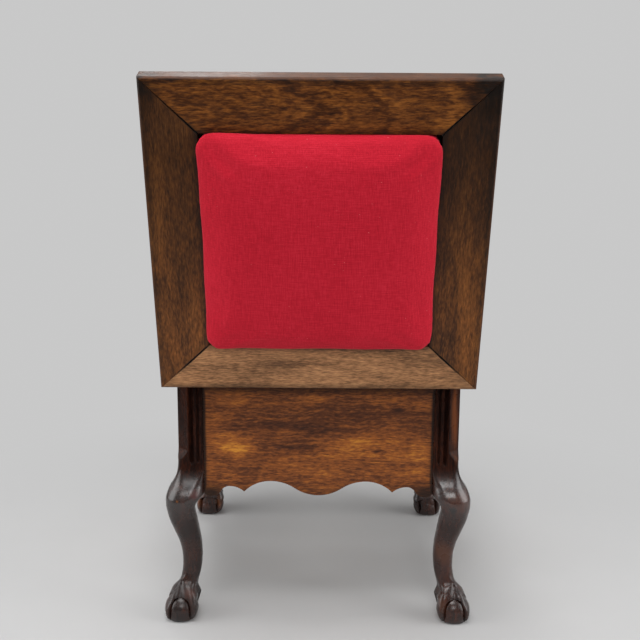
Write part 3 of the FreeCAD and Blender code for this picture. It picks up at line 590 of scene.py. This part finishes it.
def filled_out(points):
    """The pad above the lid's face with a domed middle, and edges that stand out most at its corners."""
    closed = to_closed_lid(points) / MM
    above = soft_step(LID_FACE, LID_FACE + PAD_RISE, closed[:, 2])
    share = np.clip(closed[:, :2] / COVER_HALF, -1, 1)
    full = np.prod(np.maximum(share * PAD_FULL_CORNER, 0), axis=1) ** 2
    dome = PAD_DOME * np.prod(1 - share ** 2, axis=1)
    for across, along in ((0, 1), (1, 0)):
        aside = np.abs(closed[:, across])
        near_edge = soft_step(COVER_HALF - PAD_EDGE_ZONE, COVER_HALF, aside)
        drawn = PAD_PULL_IN * (1 - np.abs(share[:, along]) ** PAD_PULL_POWER)
        side = np.sign(closed[:, across])
        wave = PAD_WAVE * np.sin(closed[:, along] / PAD_WAVE_LENGTH + PAD_WAVE_SHIFT * side)
        out = PAD_SWELL - drawn + wave + PAD_CORNER_SWELL * full
        closed[:, across] += side * out * above * near_edge
    closed[:, 2] += dome * above
    return to_open_lid(closed * MM)


def welded_copy(mesh):
    """A copy of a mesh without materials, with its points joined where they meet."""
    copy = mesh.copy()
    copy.materials.clear()
    welder = bmesh.new()
    welder.from_mesh(copy)
    bmesh.ops.remove_doubles(welder, verts=welder.verts, dist=WELD_DISTANCE)
    welder.to_mesh(copy)
    welder.free()
    return copy


def make_pad(material):
    """The crowned seat pad, swollen from the shape of its stuffing."""
    pad = new_object("seat_pad", welded_copy(nodes["seat_stuffing"].data))
    apply_modifier(pad, "REMESH", mode="VOXEL", voxel_size=PAD_VOXEL)
    points = blown_up(pad)
    set_points(pad.data, points)
    apply_modifier(pad, "SMOOTH", factor=PAD_RELAX_FACTOR, iterations=PAD_RELAX)
    set_points(pad.data, filled_out(mesh_points(pad.data)))
    apply_modifier(pad, "SUBSURF", levels=1, render_levels=1)
    pad.data.polygons.foreach_set("use_smooth", [True] * len(pad.data.polygons))
    pad.data.materials.clear()
    pad.data.materials.append(material)
    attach(pad, "lid")
    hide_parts("seat_cover", "seat_stuffing")


def make_turned_edge(material):
    """The cover's edge, which runs down the sides of the seat board and is turned under it."""
    square = square_outline(COVER_SIDE_POINTS)
    inside = COVER_HALF - COVER_THICKNESS
    under = COVER_HALF - COVER_TURN_UNDER
    board_low = COVER_LOW + COVER_THICKNESS
    section = [
        (under, COVER_LOW), (COVER_HALF - COVER_FOLD, COVER_LOW), (COVER_HALF, COVER_LOW + COVER_FOLD),
        (COVER_HALF, CROWN_START), (inside, CROWN_START), (inside, board_low), (under, board_low),
    ]
    loops = []
    for half, height in section:
        loops.append(at_height(rounded_outline(square, half, COVER_CORNER), height))
    mesh = mesh_from_loops("cover_turned_under", loops, closed=True)
    set_points(mesh, to_open_lid(mesh_points(mesh)))
    mesh.set_sharp_from_angle(angle=math.radians(COVER_SHARP_ANGLE))
    edge = new_object("cover_turned_under", mesh)
    edge.data.materials.append(material)
    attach(edge, "lid")


def soften_edges(names):
    """Takes the sharpness off the edges of carried-over pieces."""
    for name in names:
        weld = nodes[name].modifiers.new("weld", "WELD")
        weld.merge_threshold = WELD_DISTANCE
        bevel = nodes[name].modifiers.new("soft_edges", "BEVEL")
        bevel.width = EDGE_SOFTNESS
        bevel.segments = EDGE_SEGMENTS
        bevel.limit_method = "ANGLE"
        bevel.angle_limit = math.radians(EDGE_ANGLE)


def feed(tree, socket, value):
    """Links a socket to another node's output, or sets it to a constant."""
    if isinstance(value, bpy.types.NodeSocket):
        tree.links.new(value, socket)
    else:
        socket.default_value = value


def add(tree, kind, inputs=None, **settings):
    """A shader node with its settings and inputs. An input may be another node's output."""
    made = tree.nodes.new(kind)
    for name, value in settings.items():
        setattr(made, name, value)
    for name, value in (inputs or {}).items():
        feed(tree, made.inputs[name], value)
    return made


def coat(tree, shader, inputs):
    """Sets or links the inputs of a shader."""
    for name, value in inputs.items():
        feed(tree, shader.inputs[name], value)


def rgba(colour):
    """A colour with its alpha. A node's output stays as it is."""
    return colour if isinstance(colour, bpy.types.NodeSocket) else (*colour, 1)


def noise(tree, place, scale, detail=4.0, roughness=0.55, distortion=0.0):
    """A noise value between 0 and 1."""
    made = add(tree, "ShaderNodeTexNoise", {
        "Vector": place, "Scale": scale, "Detail": detail, "Roughness": roughness, "Distortion": distortion,
    })
    return made.outputs["Fac"]


def maths(tree, operation, first, second=0.0, clamp=False):
    """One step of arithmetic on values."""
    made = add(tree, "ShaderNodeMath", {0: first, 1: second}, operation=operation, use_clamp=clamp)
    return made.outputs["Value"]


def between(tree, value, low, high, start=0.0, end=1.0):
    """A value that goes smoothly from start to end as its input goes from low to high."""
    made = add(tree, "ShaderNodeMapRange", {
        "Value": value, "From Min": low, "From Max": high, "To Min": start, "To Max": end,
    }, interpolation_type="SMOOTHSTEP")
    return made.outputs["Result"]


def between_mm(tree, value, limits, start=0.0, end=1.0):
    """Like between, with the input's limits in millimetres."""
    low, high = limits
    return between(tree, value, low * MM, high * MM, start, end)


def uneven(tree, place, scale, low, high, detail=4.0):
    """A value that wanders between low and high."""
    return between(tree, noise(tree, place, scale, detail), 0.3, 0.7, low, high)


def weighted(tree, shares):
    """Values added up by their shares."""
    total = 0.0
    for value, share in shares:
        total = maths(tree, "ADD", maths(tree, "MULTIPLY", value, share), total)
    return total


def most(tree, values):
    """The largest of several values."""
    largest = values[0]
    for value in values[1:]:
        largest = maths(tree, "MAXIMUM", largest, value)
    return largest


def stepped(tree, value, steps):
    """A value that starts at the first step's level and goes smoothly to the next one's at each step."""
    total = steps[0][2]
    for (_, _, before), (low, high, after) in zip(steps, steps[1:]):
        total = maths(tree, "ADD", between(tree, value, low, high, 0.0, after - before), total)
    return total


def length_of(tree, first, second):
    """The length of a line from its reach along two axes."""
    return maths(tree, "SQRT", weighted(tree, [(first, first), (second, second)]))


def separated(tree, place):
    """The three parts of a place."""
    parts = add(tree, "ShaderNodeSeparateXYZ", {"Vector": place})
    return [parts.outputs[axis] for axis in "XYZ"]


def upwards(tree, value):
    """A shift up by a value."""
    return add(tree, "ShaderNodeCombineXYZ", {"Z": value}).outputs["Vector"]


def noise_along(tree, value, scale, shift):
    """A noise value that depends on one value only."""
    place = maths(tree, "ADD", value, shift)
    inputs = {"W": place, "Scale": scale, "Detail": 2.0}
    return add(tree, "ShaderNodeTexNoise", inputs, noise_dimensions="1D").outputs["Fac"]


def ramp(tree, value, stops):
    """Colours along a value: pairs of position and colour."""
    made = add(tree, "ShaderNodeValToRGB", {"Fac": value})
    elements = made.color_ramp.elements
    while len(elements) < len(stops):
        elements.new(0.5)
    for element, (position, colour) in zip(elements, stops):
        element.position = position
        element.color = rgba(colour)
    return made.outputs["Color"]


def mixed(tree, amount, first, second):
    """Two colours mixed by an amount."""
    inputs = {MIX_AMOUNT: amount, MIX_FIRST: rgba(first), MIX_SECOND: rgba(second)}
    return add(tree, "ShaderNodeMix", inputs, data_type="RGBA").outputs[MIX_RESULT]


def darkened(tree, colour, amount, dark=DIRT_AND_SHADE_COLOUR):
    """A colour darkened towards a dark colour, for dirt and for painted shade."""
    return mixed(tree, amount, colour, dark)


def new_material(name):
    """A material, its node tree and its surface shader."""
    material = bpy.data.materials.new(name)
    material.use_nodes = True
    tree = material.node_tree
    return material, tree, tree.nodes["Principled BSDF"]


def place_on(tree, on_lid=False):
    """Places on the object. On the lid they are those of the closed lid."""
    place = add(tree, "ShaderNodeTexCoord").outputs["Object"]
    if not on_lid:
        return place
    turned = add(
        tree, "ShaderNodeVectorRotate", {"Vector": place, "Center": hinge_place, "Angle": -lid_turn},
        rotation_type="X_AXIS")
    return turned.outputs["Vector"]


def stretched(tree, place, scale, shift=(0, 0, 0)):
    """Places stretched along the grain: a smaller scale is a longer grain."""
    made = add(tree, "ShaderNodeMapping", {"Vector": place, "Location": shift, "Scale": scale})
    return made.outputs["Vector"]


def along_grain(grain, long, short):
    """Scales for a grain along one axis."""
    scale = [short, short, short]
    scale["XYZ".index(grain)] = long
    return scale


def bumped(tree, shader, height, distance, strength=1.0):
    """A fine relief from a height value."""
    made = add(tree, "ShaderNodeBump", {"Height": height, "Distance": distance, "Strength": strength})
    tree.links.new(made.outputs["Normal"], shader.inputs["Normal"])


def wood_pores(tree, place, grain, shift, roughness=0.5):
    """Pores along the grain: 1 in a pore and 0 beside it."""
    pore_place = stretched(tree, place, along_grain(grain, *PORE_SCALE), shift)
    return between(tree, noise(tree, pore_place, 1.0, 3.0, roughness), *PORE_LEVELS)


def sink_pores(tree, shader, pores, depth=PORE_DEPTH):
    """Sinks the pores into a wood's surface."""
    bumped(tree, shader, maths(tree, "MULTIPLY", pores, -1.0), depth)


def wood_colour(tree, place, grain, shift, stops, figure=0.5, rings=None, mottle=0.0):
    """Wood along one axis: broad figure, fine lines and dark pores. Gives the colour and the pores.

    Mottle, from 0 to 1, breaks the lines up into short dashes.
    """
    line_long, line_short = LINE_SCALE
    line_scale = along_grain(grain, line_long + MOTTLED_LINES * mottle, line_short)
    broad_place = stretched(tree, place, along_grain(grain, *BROAD_SCALE), shift)
    broad = noise(tree, broad_place, 5.0, 5.0, 0.6, figure)
    if rings is not None:
        broad = weighted(tree, [(rings, 0.5), (broad, 0.5)])
    lines = noise(tree, stretched(tree, place, line_scale, shift), 8.0, 6.0, 0.7, 0.3)
    fine = noise(tree, stretched(tree, place, along_grain(grain, *FINE_SCALE), shift), 1.0, 2.0)
    colour = ramp(tree, weighted(tree, [(broad, 0.44), (lines, 0.24), (fine, 0.32)]), stops)
    pores = wood_pores(tree, place, grain, shift)
    return mixed(tree, maths(tree, "MULTIPLY", pores, 0.5), colour, PORE_COLOUR), pores


def arched_rings(tree, place, seed):
    """The rings of a flat-sawn board along X: arches inside one another about its middle line, 0 to 1."""
    along, across, _ = separated(tree, place)
    past = maths(tree, "MAXIMUM", maths(tree, "SUBTRACT", along, ARCH_START * MM), 0.0)
    depth = maths(tree, "MULTIPLY", past, ARCH_SLOPE)
    drift = maths(tree, "SUBTRACT", noise_along(tree, along, 7.0, seed), 0.5)
    middle = maths(tree, "ADD", maths(tree, "MULTIPLY", drift, ARCH_DRIFT * MM), ARCH_MIDDLE * MM)
    aside = maths(tree, "SUBTRACT", across, middle)
    wobble = noise(tree, stretched(tree, place, (28.0, 60.0, 60.0)), 1.0, 5.0)
    wobble = maths(tree, "MULTIPLY", wobble, ARCH_WOBBLE * MM)
    radius = maths(tree, "ADD", length_of(tree, aside, depth), wobble)
    return noise_along(tree, radius, ARCH_RINGS, seed)


def patch(tree, place, middle, reach):
    """1 in the middle of a patch and 0 past its reach along each axis, in millimetres, with a ragged edge."""
    scale = [1 / (side * MM) for side in reach]
    shift = [-part * MM * factor for part, factor in zip(middle, scale)]
    offset = stretched(tree, place, scale, shift)
    away = add(tree, "ShaderNodeVectorMath", {0: offset}, operation="LENGTH").outputs["Value"]
    ragged = maths(tree, "SUBTRACT", noise(tree, offset, 1.6, 4.0), 0.5)
    return between(tree, maths(tree, "ADD", away, ragged), 0.25, 1.0, 1.0, 0.0)


def lid_dirt_and_shade(tree, place):
    """How dark the lid's boards are made: dirt along the mitres, at the outer edge and in the corners, and
    painted shade round the seat, under the pad's edge.

    The corners are dirtiest at the front, and most widely at the right.
    """
    right, front, _ = separated(tree, place)
    x = maths(tree, "ABSOLUTE", right)
    y = maths(tree, "ABSOLUTE", front)
    off_mitre = maths(tree, "ABSOLUTE", maths(tree, "SUBTRACT", x, y))
    out = maths(tree, "MAXIMUM", x, y)
    mitre = maths(tree, "MULTIPLY", between_mm(tree, off_mitre, MITRE_DIRT, 1.0, 0.0),
                  between_mm(tree, out, MITRE_FADES, 0.95, 0.1))
    from_corner = length_of(tree, maths(tree, "SUBTRACT", LID_HALF * MM, x),
                            maths(tree, "SUBTRACT", LID_HALF * MM, y))
    narrower = between_mm(tree, right, CORNER_SIDES, CORNER_LEFT, 1.0)
    corner = between_mm(tree, maths(tree, "MULTIPLY", from_corner, narrower), CORNER_DIRT, 0.85, 0.0)
    corner = maths(tree, "MULTIPLY", corner, between_mm(tree, front, CORNER_FRONT, 0.3, 1.0))
    # Painted shade under the pad's overhanging edge
    seat_shade = between_mm(tree, out, SEAT_SHADE, 0.65, 0.0)
    outer_edge = between_mm(tree, out, OUTER_DIRT, 0.0, 0.45)
    dirt_and_shade = most(tree, [mitre, corner, seat_shade, outer_edge])
    ragged = between(tree, noise(tree, place, 60.0, 4.0), 0.25, 0.6, 0.5, 1.1)
    return maths(tree, "MULTIPLY", dirt_and_shade, ragged, clamp=True)


def lid_material(name, grain, shift, stops, figure, mottle=0.0, arched=False, reflection_darkening=0.0):
    """Dark satin wood for a board of the lid. The last argument paints it darker towards the front, as a
    painted reflection of the dimmer far floor.
    """
    material, tree, shader = new_material(name)
    place = place_on(tree, on_lid=True)
    rings = arched_rings(tree, place, ARCH_SEED) if arched else None
    colour, pores = wood_colour(tree, place, grain, shift, stops, figure, rings, mottle)
    x, y, _ = separated(tree, place)
    # Painted reflection: darker towards the front, which mirrors less of the bright floor
    colour = darkened(tree, colour, between_mm(tree, y, (PAINTED_REFLECTION_FROM_Y, PAINTED_REFLECTION_TO_Y), 0.0, reflection_darkening))
    out = maths(tree, "MAXIMUM", maths(tree, "ABSOLUTE", x), maths(tree, "ABSOLUTE", y))
    colour = mixed(tree, between_mm(tree, out, LID_EDGE, 0.0, 0.8), colour, EDGE_COLOUR)
    coat(tree, shader, {
        "Base Color": darkened(tree, colour, lid_dirt_and_shade(tree, place)),
        "Roughness": uneven(tree, place, 14.0, 0.36, 0.5, 5.0),
        "Specular IOR Level": 0.22,
    })
    sink_pores(tree, shader, pores)
    return material


def panel_tone(tree, place, grain, shift):
    """The panel's figure: short wavy dashes along the grain over broad patches."""
    wave = noise(tree, stretched(tree, place, along_grain(grain, *PANEL_WAVE), shift), 1.0, 2.0)
    sway = maths(tree, "MULTIPLY", maths(tree, "SUBTRACT", wave, 0.5), PANEL_SWAY * MM)
    swayed = add(tree, "ShaderNodeVectorMath", {0: place, 1: upwards(tree, sway)}, operation="ADD")
    bent = swayed.outputs["Vector"]
    broad = noise(tree, stretched(tree, bent, along_grain(grain, *PANEL_BROAD), shift), 1.0, 3.0, 0.5)
    streaks = noise(tree, stretched(tree, bent, along_grain(grain, *PANEL_STREAKS), shift), 1.0, 4.0, 0.65)
    dashes = noise(tree, stretched(tree, bent, along_grain(grain, *PANEL_DASHES), shift), 1.0, 2.0, 0.5)
    return weighted(tree, [(broad, 0.32), (streaks, 0.34), (dashes, 0.36)])


def panel_shade_and_darkening(tree, place, grain):
    """How much darker a panel is made: painted shade under the rim and at the posts, and darker along its
    lower edge and in its end lobes.
    """
    parts = dict(zip("XYZ", separated(tree, place)))
    height = parts["Z"]
    along = maths(tree, "ABSOLUTE", parts[grain])
    # Painted shadow of the lid's overhang, under the rim
    rim = between_mm(tree, height, RIM_SHADE, 0.0, 0.6)
    low = between_mm(tree, height, LOW_DARKENING, 0.3, 0.0)
    # Painted shadow of the posts on the recessed panel's ends
    at_post = between_mm(tree, along, POST_SHADE, 0.0, 0.9)
    lobe = maths(tree, "MULTIPLY", between_mm(tree, along, LOBE_DARKENING, 0.0, 0.9),
                 between_mm(tree, height, LOBE_HEIGHT, 1.0, 0.0))
    return most(tree, [rim, low, at_post, lobe])


def panel_material(name, grain, shift, patched=False):
    """Orange-brown satin wood with a strong level grain, dark streaks and golden patches."""
    material, tree, shader = new_material(name)
    place = place_on(tree)
    tone = panel_tone(tree, place, grain, shift)
    if patched:
        for (x, z), (wide, high), change in PANEL_PATCHES:
            spot = patch(tree, place, (x, PANEL_FACE, z), (wide, PATCH_DEPTH, high))
            tone = maths(tree, "ADD", tone, maths(tree, "MULTIPLY", spot, change))
    colour = ramp(tree, tone, PANEL_COLOURS)
    coat(tree, shader, {
        "Base Color": darkened(tree, colour, panel_shade_and_darkening(tree, place, grain)),
        "Roughness": uneven(tree, place, 12.0, 0.36, 0.5),
        "Specular IOR Level": 0.25,
    })
    sink_pores(tree, shader, wood_pores(tree, place, grain, shift, 0.55))
    return material


def leg_material():
    """Very dark red-brown polished wood, worn to a lighter red on the knees and posts, with painted shade
    under the right rear knee and painted highlights on the front left foot's claws.
    """
    material, tree, shader = new_material("leg_wood")
    place = place_on(tree)
    colour, pores = wood_colour(tree, place, "Z", (0.1, 0.3, 0.0), LEG_COLOURS, figure=0.8)
    # Wear patches, with painted shade under a knee and painted highlights on a foot's claws
    for middle, reach, amount, tint in LEG_WEAR_AND_PAINTED_LIGHT:
        wear_and_light = maths(tree, "MULTIPLY", patch(tree, place, middle, reach), amount)
        colour = mixed(tree, wear_and_light, colour, tint)
    # Dirt and painted shade that darken the flutes and the grooves round the balls
    hollows = add(tree, "ShaderNodeAttribute", attribute_name="dirt_and_shade").outputs["Fac"]
    _, _, height = separated(tree, place)
    polish = stepped(tree, height, LEG_POLISH)
    coat(tree, shader, {
        "Base Color": darkened(tree, colour, maths(tree, "MULTIPLY", hollows, 0.5), HOLLOW_COLOUR),
        "Roughness": uneven(tree, place, 25.0, 0.2, 0.36, 5.0),
        "Specular IOR Level": maths(tree, "MULTIPLY", polish, maths(tree, "SUBTRACT", 1.0, hollows)),
    })
    sink_pores(tree, shader, pores, 0.0001)
    return material


def inner_material():
    """Plain unpolished wood for what the box hides."""
    material, tree, shader = new_material("inner_wood")
    place = place_on(tree)
    colour, pores = wood_colour(tree, place, "Y", (0.2, 0.5, 0.3), INNER_COLOURS)
    stains = between(tree, noise(tree, place, 9.0, 6.0), 0.52, 0.75, 0.0, 0.5)
    coat(tree, shader, {
        "Base Color": darkened(tree, colour, stains, STAIN_COLOUR),
        "Roughness": uneven(tree, place, 30.0, 0.55, 0.75),
    })
    sink_pores(tree, shader, pores, 0.0002)
    return material


def cloth_material():
    """Crimson woven cloth with slubs, a soft sheen and a little lint."""
    material, tree, shader = new_material("cover_fabric")
    place = place_on(tree, on_lid=True)
    across = noise(tree, stretched(tree, place, along_grain("X", *CLOTH_SLUBS)), 1.0, 3.0)
    along = noise(tree, stretched(tree, place, along_grain("Y", *CLOTH_SLUBS)), 1.0, 3.0)
    broad = noise(tree, place, 12.0, 4.0)
    colour = ramp(tree, weighted(tree, [(across, 0.4), (along, 0.4), (broad, 0.2)]), CLOTH_COLOURS)
    lint_place = stretched(tree, place, (260.0, 420.0, 420.0))
    lint = between(tree, noise(tree, lint_place, 1.0, 1.0), 0.78, 0.82, 0.0, 0.5)
    coat(tree, shader, {
        "Base Color": mixed(tree, lint, colour, LINT_COLOUR), "Roughness": 0.8,
        "Specular IOR Level": 0.18, "Sheen Weight": 0.15, "Sheen Roughness": 0.4,
        "Sheen Tint": rgba(SHEEN_COLOUR),
    })
    threads = {"Vector": place, "Scale": 140.0, "Distortion": 0.6, "Detail": 1.0}
    warp, weft = [
        add(tree, "ShaderNodeTexWave", threads, bands_direction=axis).outputs["Fac"] for axis in "XY"
    ]
    weave = maths(tree, "MULTIPLY", warp, weft)
    bumped(tree, shader, weighted(tree, [(weave, 1.0), (across, 1.0), (along, 1.0)]), 0.00025, 0.5)
    return material


def metal_material(name, colour, stain, roughness):
    """Old metal: tarnished in patches, with fine scratches."""
    material, tree, shader = new_material(name)
    place = place_on(tree)
    patches = between(tree, noise(tree, place, 70.0, 6.0, 0.65), 0.4, 0.65)
    coat(tree, shader, {
        "Base Color": mixed(tree, patches, colour, stain), "Metallic": 1.0,
        "Roughness": between(tree, patches, 0.0, 1.0, roughness, roughness + 0.25),
    })
    scratches = noise(tree, stretched(tree, place, (60.0, 900.0, 900.0)), 1.0, 4.0)
    bumped(tree, shader, scratches, 0.00005)
    return material


def paint_nodes(materials):
    """Gives every carried-over piece its material."""
    for name, material in materials.items():
        data = nodes[name].data
        data.materials.clear()
        data.materials.append(material)


def lid_materials():
    """A material for each board of the lid."""
    front = lid_material(
        "lid_front_wood", "X", (0.13, 0.4, 0.0), LID_FRONT_COLOURS, figure=2.4, mottle=1.0, arched=True)
    rear = lid_material("lid_rear_wood", "X", (0.71, 0.9, 0.2), LID_REAR_COLOURS, figure=0.8, mottle=0.7)
    left = lid_material(
        "lid_left_wood", "Y", (0.3, 0.1, 0.5), LID_SIDE_COLOURS, figure=0.6, mottle=0.4, reflection_darkening=0.64)
    right = lid_material(
        "lid_right_wood", "Y", (0.9, 0.6, 0.7), LID_SIDE_COLOURS, figure=0.6, mottle=0.4, reflection_darkening=0.8)
    return {
        "lid_rail_front": front, "lid_rail_rear": rear, "lid_stile_left": left, "lid_stile_right": right,
    }


def choose_materials():
    """A material for each carried-over piece, by name."""
    chosen = lid_materials()
    chosen["panel_rear"] = panel_material("panel_rear_wood", "X", (0.4, 0.0, 0.1), patched=True)
    chosen["panel_front"] = panel_material("panel_front_wood", "X", (0.9, 0.2, 0.3))
    chosen["panel_left"] = panel_material("panel_left_wood", "Y", (0.1, 0.7, 0.5))
    chosen["panel_right"] = panel_material("panel_right_wood", "Y", (0.6, 0.3, 0.8))
    inner = inner_material()
    brass = metal_material(
        "hinge_brass", colour=(0.5, 0.33, 0.12), stain=(0.12, 0.075, 0.035), roughness=0.32)
    steel = metal_material(
        "fastener_steel", colour=(0.34, 0.32, 0.3), stain=(0.12, 0.08, 0.06), roughness=0.4)
    for name in nodes:
        if name.startswith("hinge_"):
            chosen[name] = brass
        elif name.endswith("_screws") or name == "cover_tacks":
            chosen[name] = steel
        elif name.startswith(("cleat_", "shoe_rest_", "bottom_", "seat_board", "mitre_")):
            chosen[name] = inner
    return chosen


def make_camera():
    """The camera, at the photograph's place and angle."""
    pitch, yaw, roll = (math.radians(a) for a in (CAMERA_PITCH, CAMERA_YAW, CAMERA_ROLL))
    ahead = Vector((math.sin(yaw) * math.cos(pitch), math.cos(yaw) * math.cos(pitch), -math.sin(pitch)))
    level = Vector((math.cos(yaw), -math.sin(yaw), 0))
    down = ahead.cross(level)
    right = level * math.cos(roll) + down * math.sin(roll)
    up = level * math.sin(roll) - down * math.cos(roll)
    data = bpy.data.cameras.new("camera")
    data.lens = CAMERA_LENS
    data.sensor_width = CAMERA_SENSOR
    camera = new_object("camera", data)
    turn = Matrix((right, up, -ahead)).transposed().to_4x4()
    camera.matrix_world = Matrix.Translation(CAMERA_PLACE) @ turn
    bpy.context.scene.camera = camera


def soft_box(name, place, target, size, power):
    """A large soft lamp that points at a place."""
    data = bpy.data.lights.new(name, "AREA")
    data.shape = "RECTANGLE"
    data.size, data.size_y = size
    data.energy = power
    lamp = new_object(name, data)
    lamp.location = place
    lamp.rotation_euler = (Vector(target) - Vector(place)).to_track_quat("-Z", "Y").to_euler()


def floor_material():
    """A plain pale floor round the object, painted dark further off as painted shade that shows in
    reflections. Further off the camera sees the backdrop in its place.
    """
    material, tree, shader = new_material("floor")
    place = place_on(tree)
    away = add(tree, "ShaderNodeVectorMath", {0: place}, operation="LENGTH").outputs["Value"]
    darker, lighter = FLOOR_TONE - FLOOR_UNEVEN, FLOOR_TONE + FLOOR_UNEVEN
    near = ramp(tree, noise(tree, place, 3.0), [(0.3, (darker,) * 3), (0.7, (lighter,) * 3)])
    # Painted shade on the floor far off
    far = between(tree, away, FLOOR_NEAR, FLOOR_FAR)
    coat(tree, shader, {
        "Base Color": mixed(tree, far, near, FLOOR_FAR_TONE), "Roughness": 0.8, "Specular IOR Level": 0.1,
    })
    backdrop = add(tree, "ShaderNodeEmission", {"Color": rgba(BACKDROP), "Strength": 1.0})
    by_camera = add(tree, "ShaderNodeLightPath").outputs["Is Camera Ray"]
    fading = between(tree, away, FLOOR_FADE, FLOOR_NEAR)
    blend = add(tree, "ShaderNodeMixShader", {
        0: maths(tree, "MULTIPLY", fading, by_camera),
        1: shader.outputs["BSDF"], 2: backdrop.outputs["Emission"],
    })
    tree.links.new(blend.outputs["Shader"], tree.nodes["Material Output"].inputs["Surface"])
    return material


def make_floor():
    """The floor, a wide disc."""
    mesh = bpy.data.meshes.new("floor")
    builder = bmesh.new()
    bmesh.ops.create_circle(builder, cap_ends=True, segments=FLOOR_SIDES, radius=FLOOR_RADIUS)
    builder.to_mesh(mesh)
    builder.free()
    floor = new_object("floor", mesh)
    mesh.materials.append(floor_material())


def make_world():
    """Dim even light all round. The camera sees a pale backdrop, and so do reflections towards the back."""
    world = bpy.data.worlds.new("surrounding")
    world.use_nodes = True
    tree = world.node_tree
    dim = tree.nodes["Background"]
    coat(tree, dim, {"Color": rgba(SURROUNDING), "Strength": 1.0})
    pale = add(tree, "ShaderNodeBackground", {"Color": rgba(BACKDROP), "Strength": 1.0})
    path = add(tree, "ShaderNodeLightPath").outputs
    _, behind, _ = separated(tree, add(tree, "ShaderNodeTexCoord").outputs["Generated"])
    mirrored = maths(tree, "MAXIMUM", path["Is Glossy Ray"], path["Is Transmission Ray"])
    mirrored = maths(tree, "MULTIPLY", mirrored, between(tree, behind, 0.0, 0.4))
    blend = add(tree, "ShaderNodeMixShader", {
        0: maths(tree, "MAXIMUM", path["Is Camera Ray"], mirrored),
        1: dim.outputs["Background"], 2: pale.outputs["Background"],
    })
    tree.links.new(blend.outputs["Shader"], tree.nodes["World Output"].inputs["Surface"])
    bpy.context.scene.world = world


def make_lamps():
    """Soft lamps: overhead, wide in front, at each side, and a small one behind for the lid's upper edge."""
    for name, place, size, power in LAMPS:
        soft_box(name, place, LAMP_TARGET, size, power)


def main():
    make_camera()
    make_floor()
    make_world()
    make_lamps()
    bpy.context.scene.view_settings.view_transform = "Standard"
    cloth = cloth_material()
    paint_nodes(choose_materials())
    make_legs(leg_material())
    make_pad(cloth)
    make_turned_edge(cloth)
    soften_edges([name for name in nodes if name.startswith(SOFTENED)])


main()
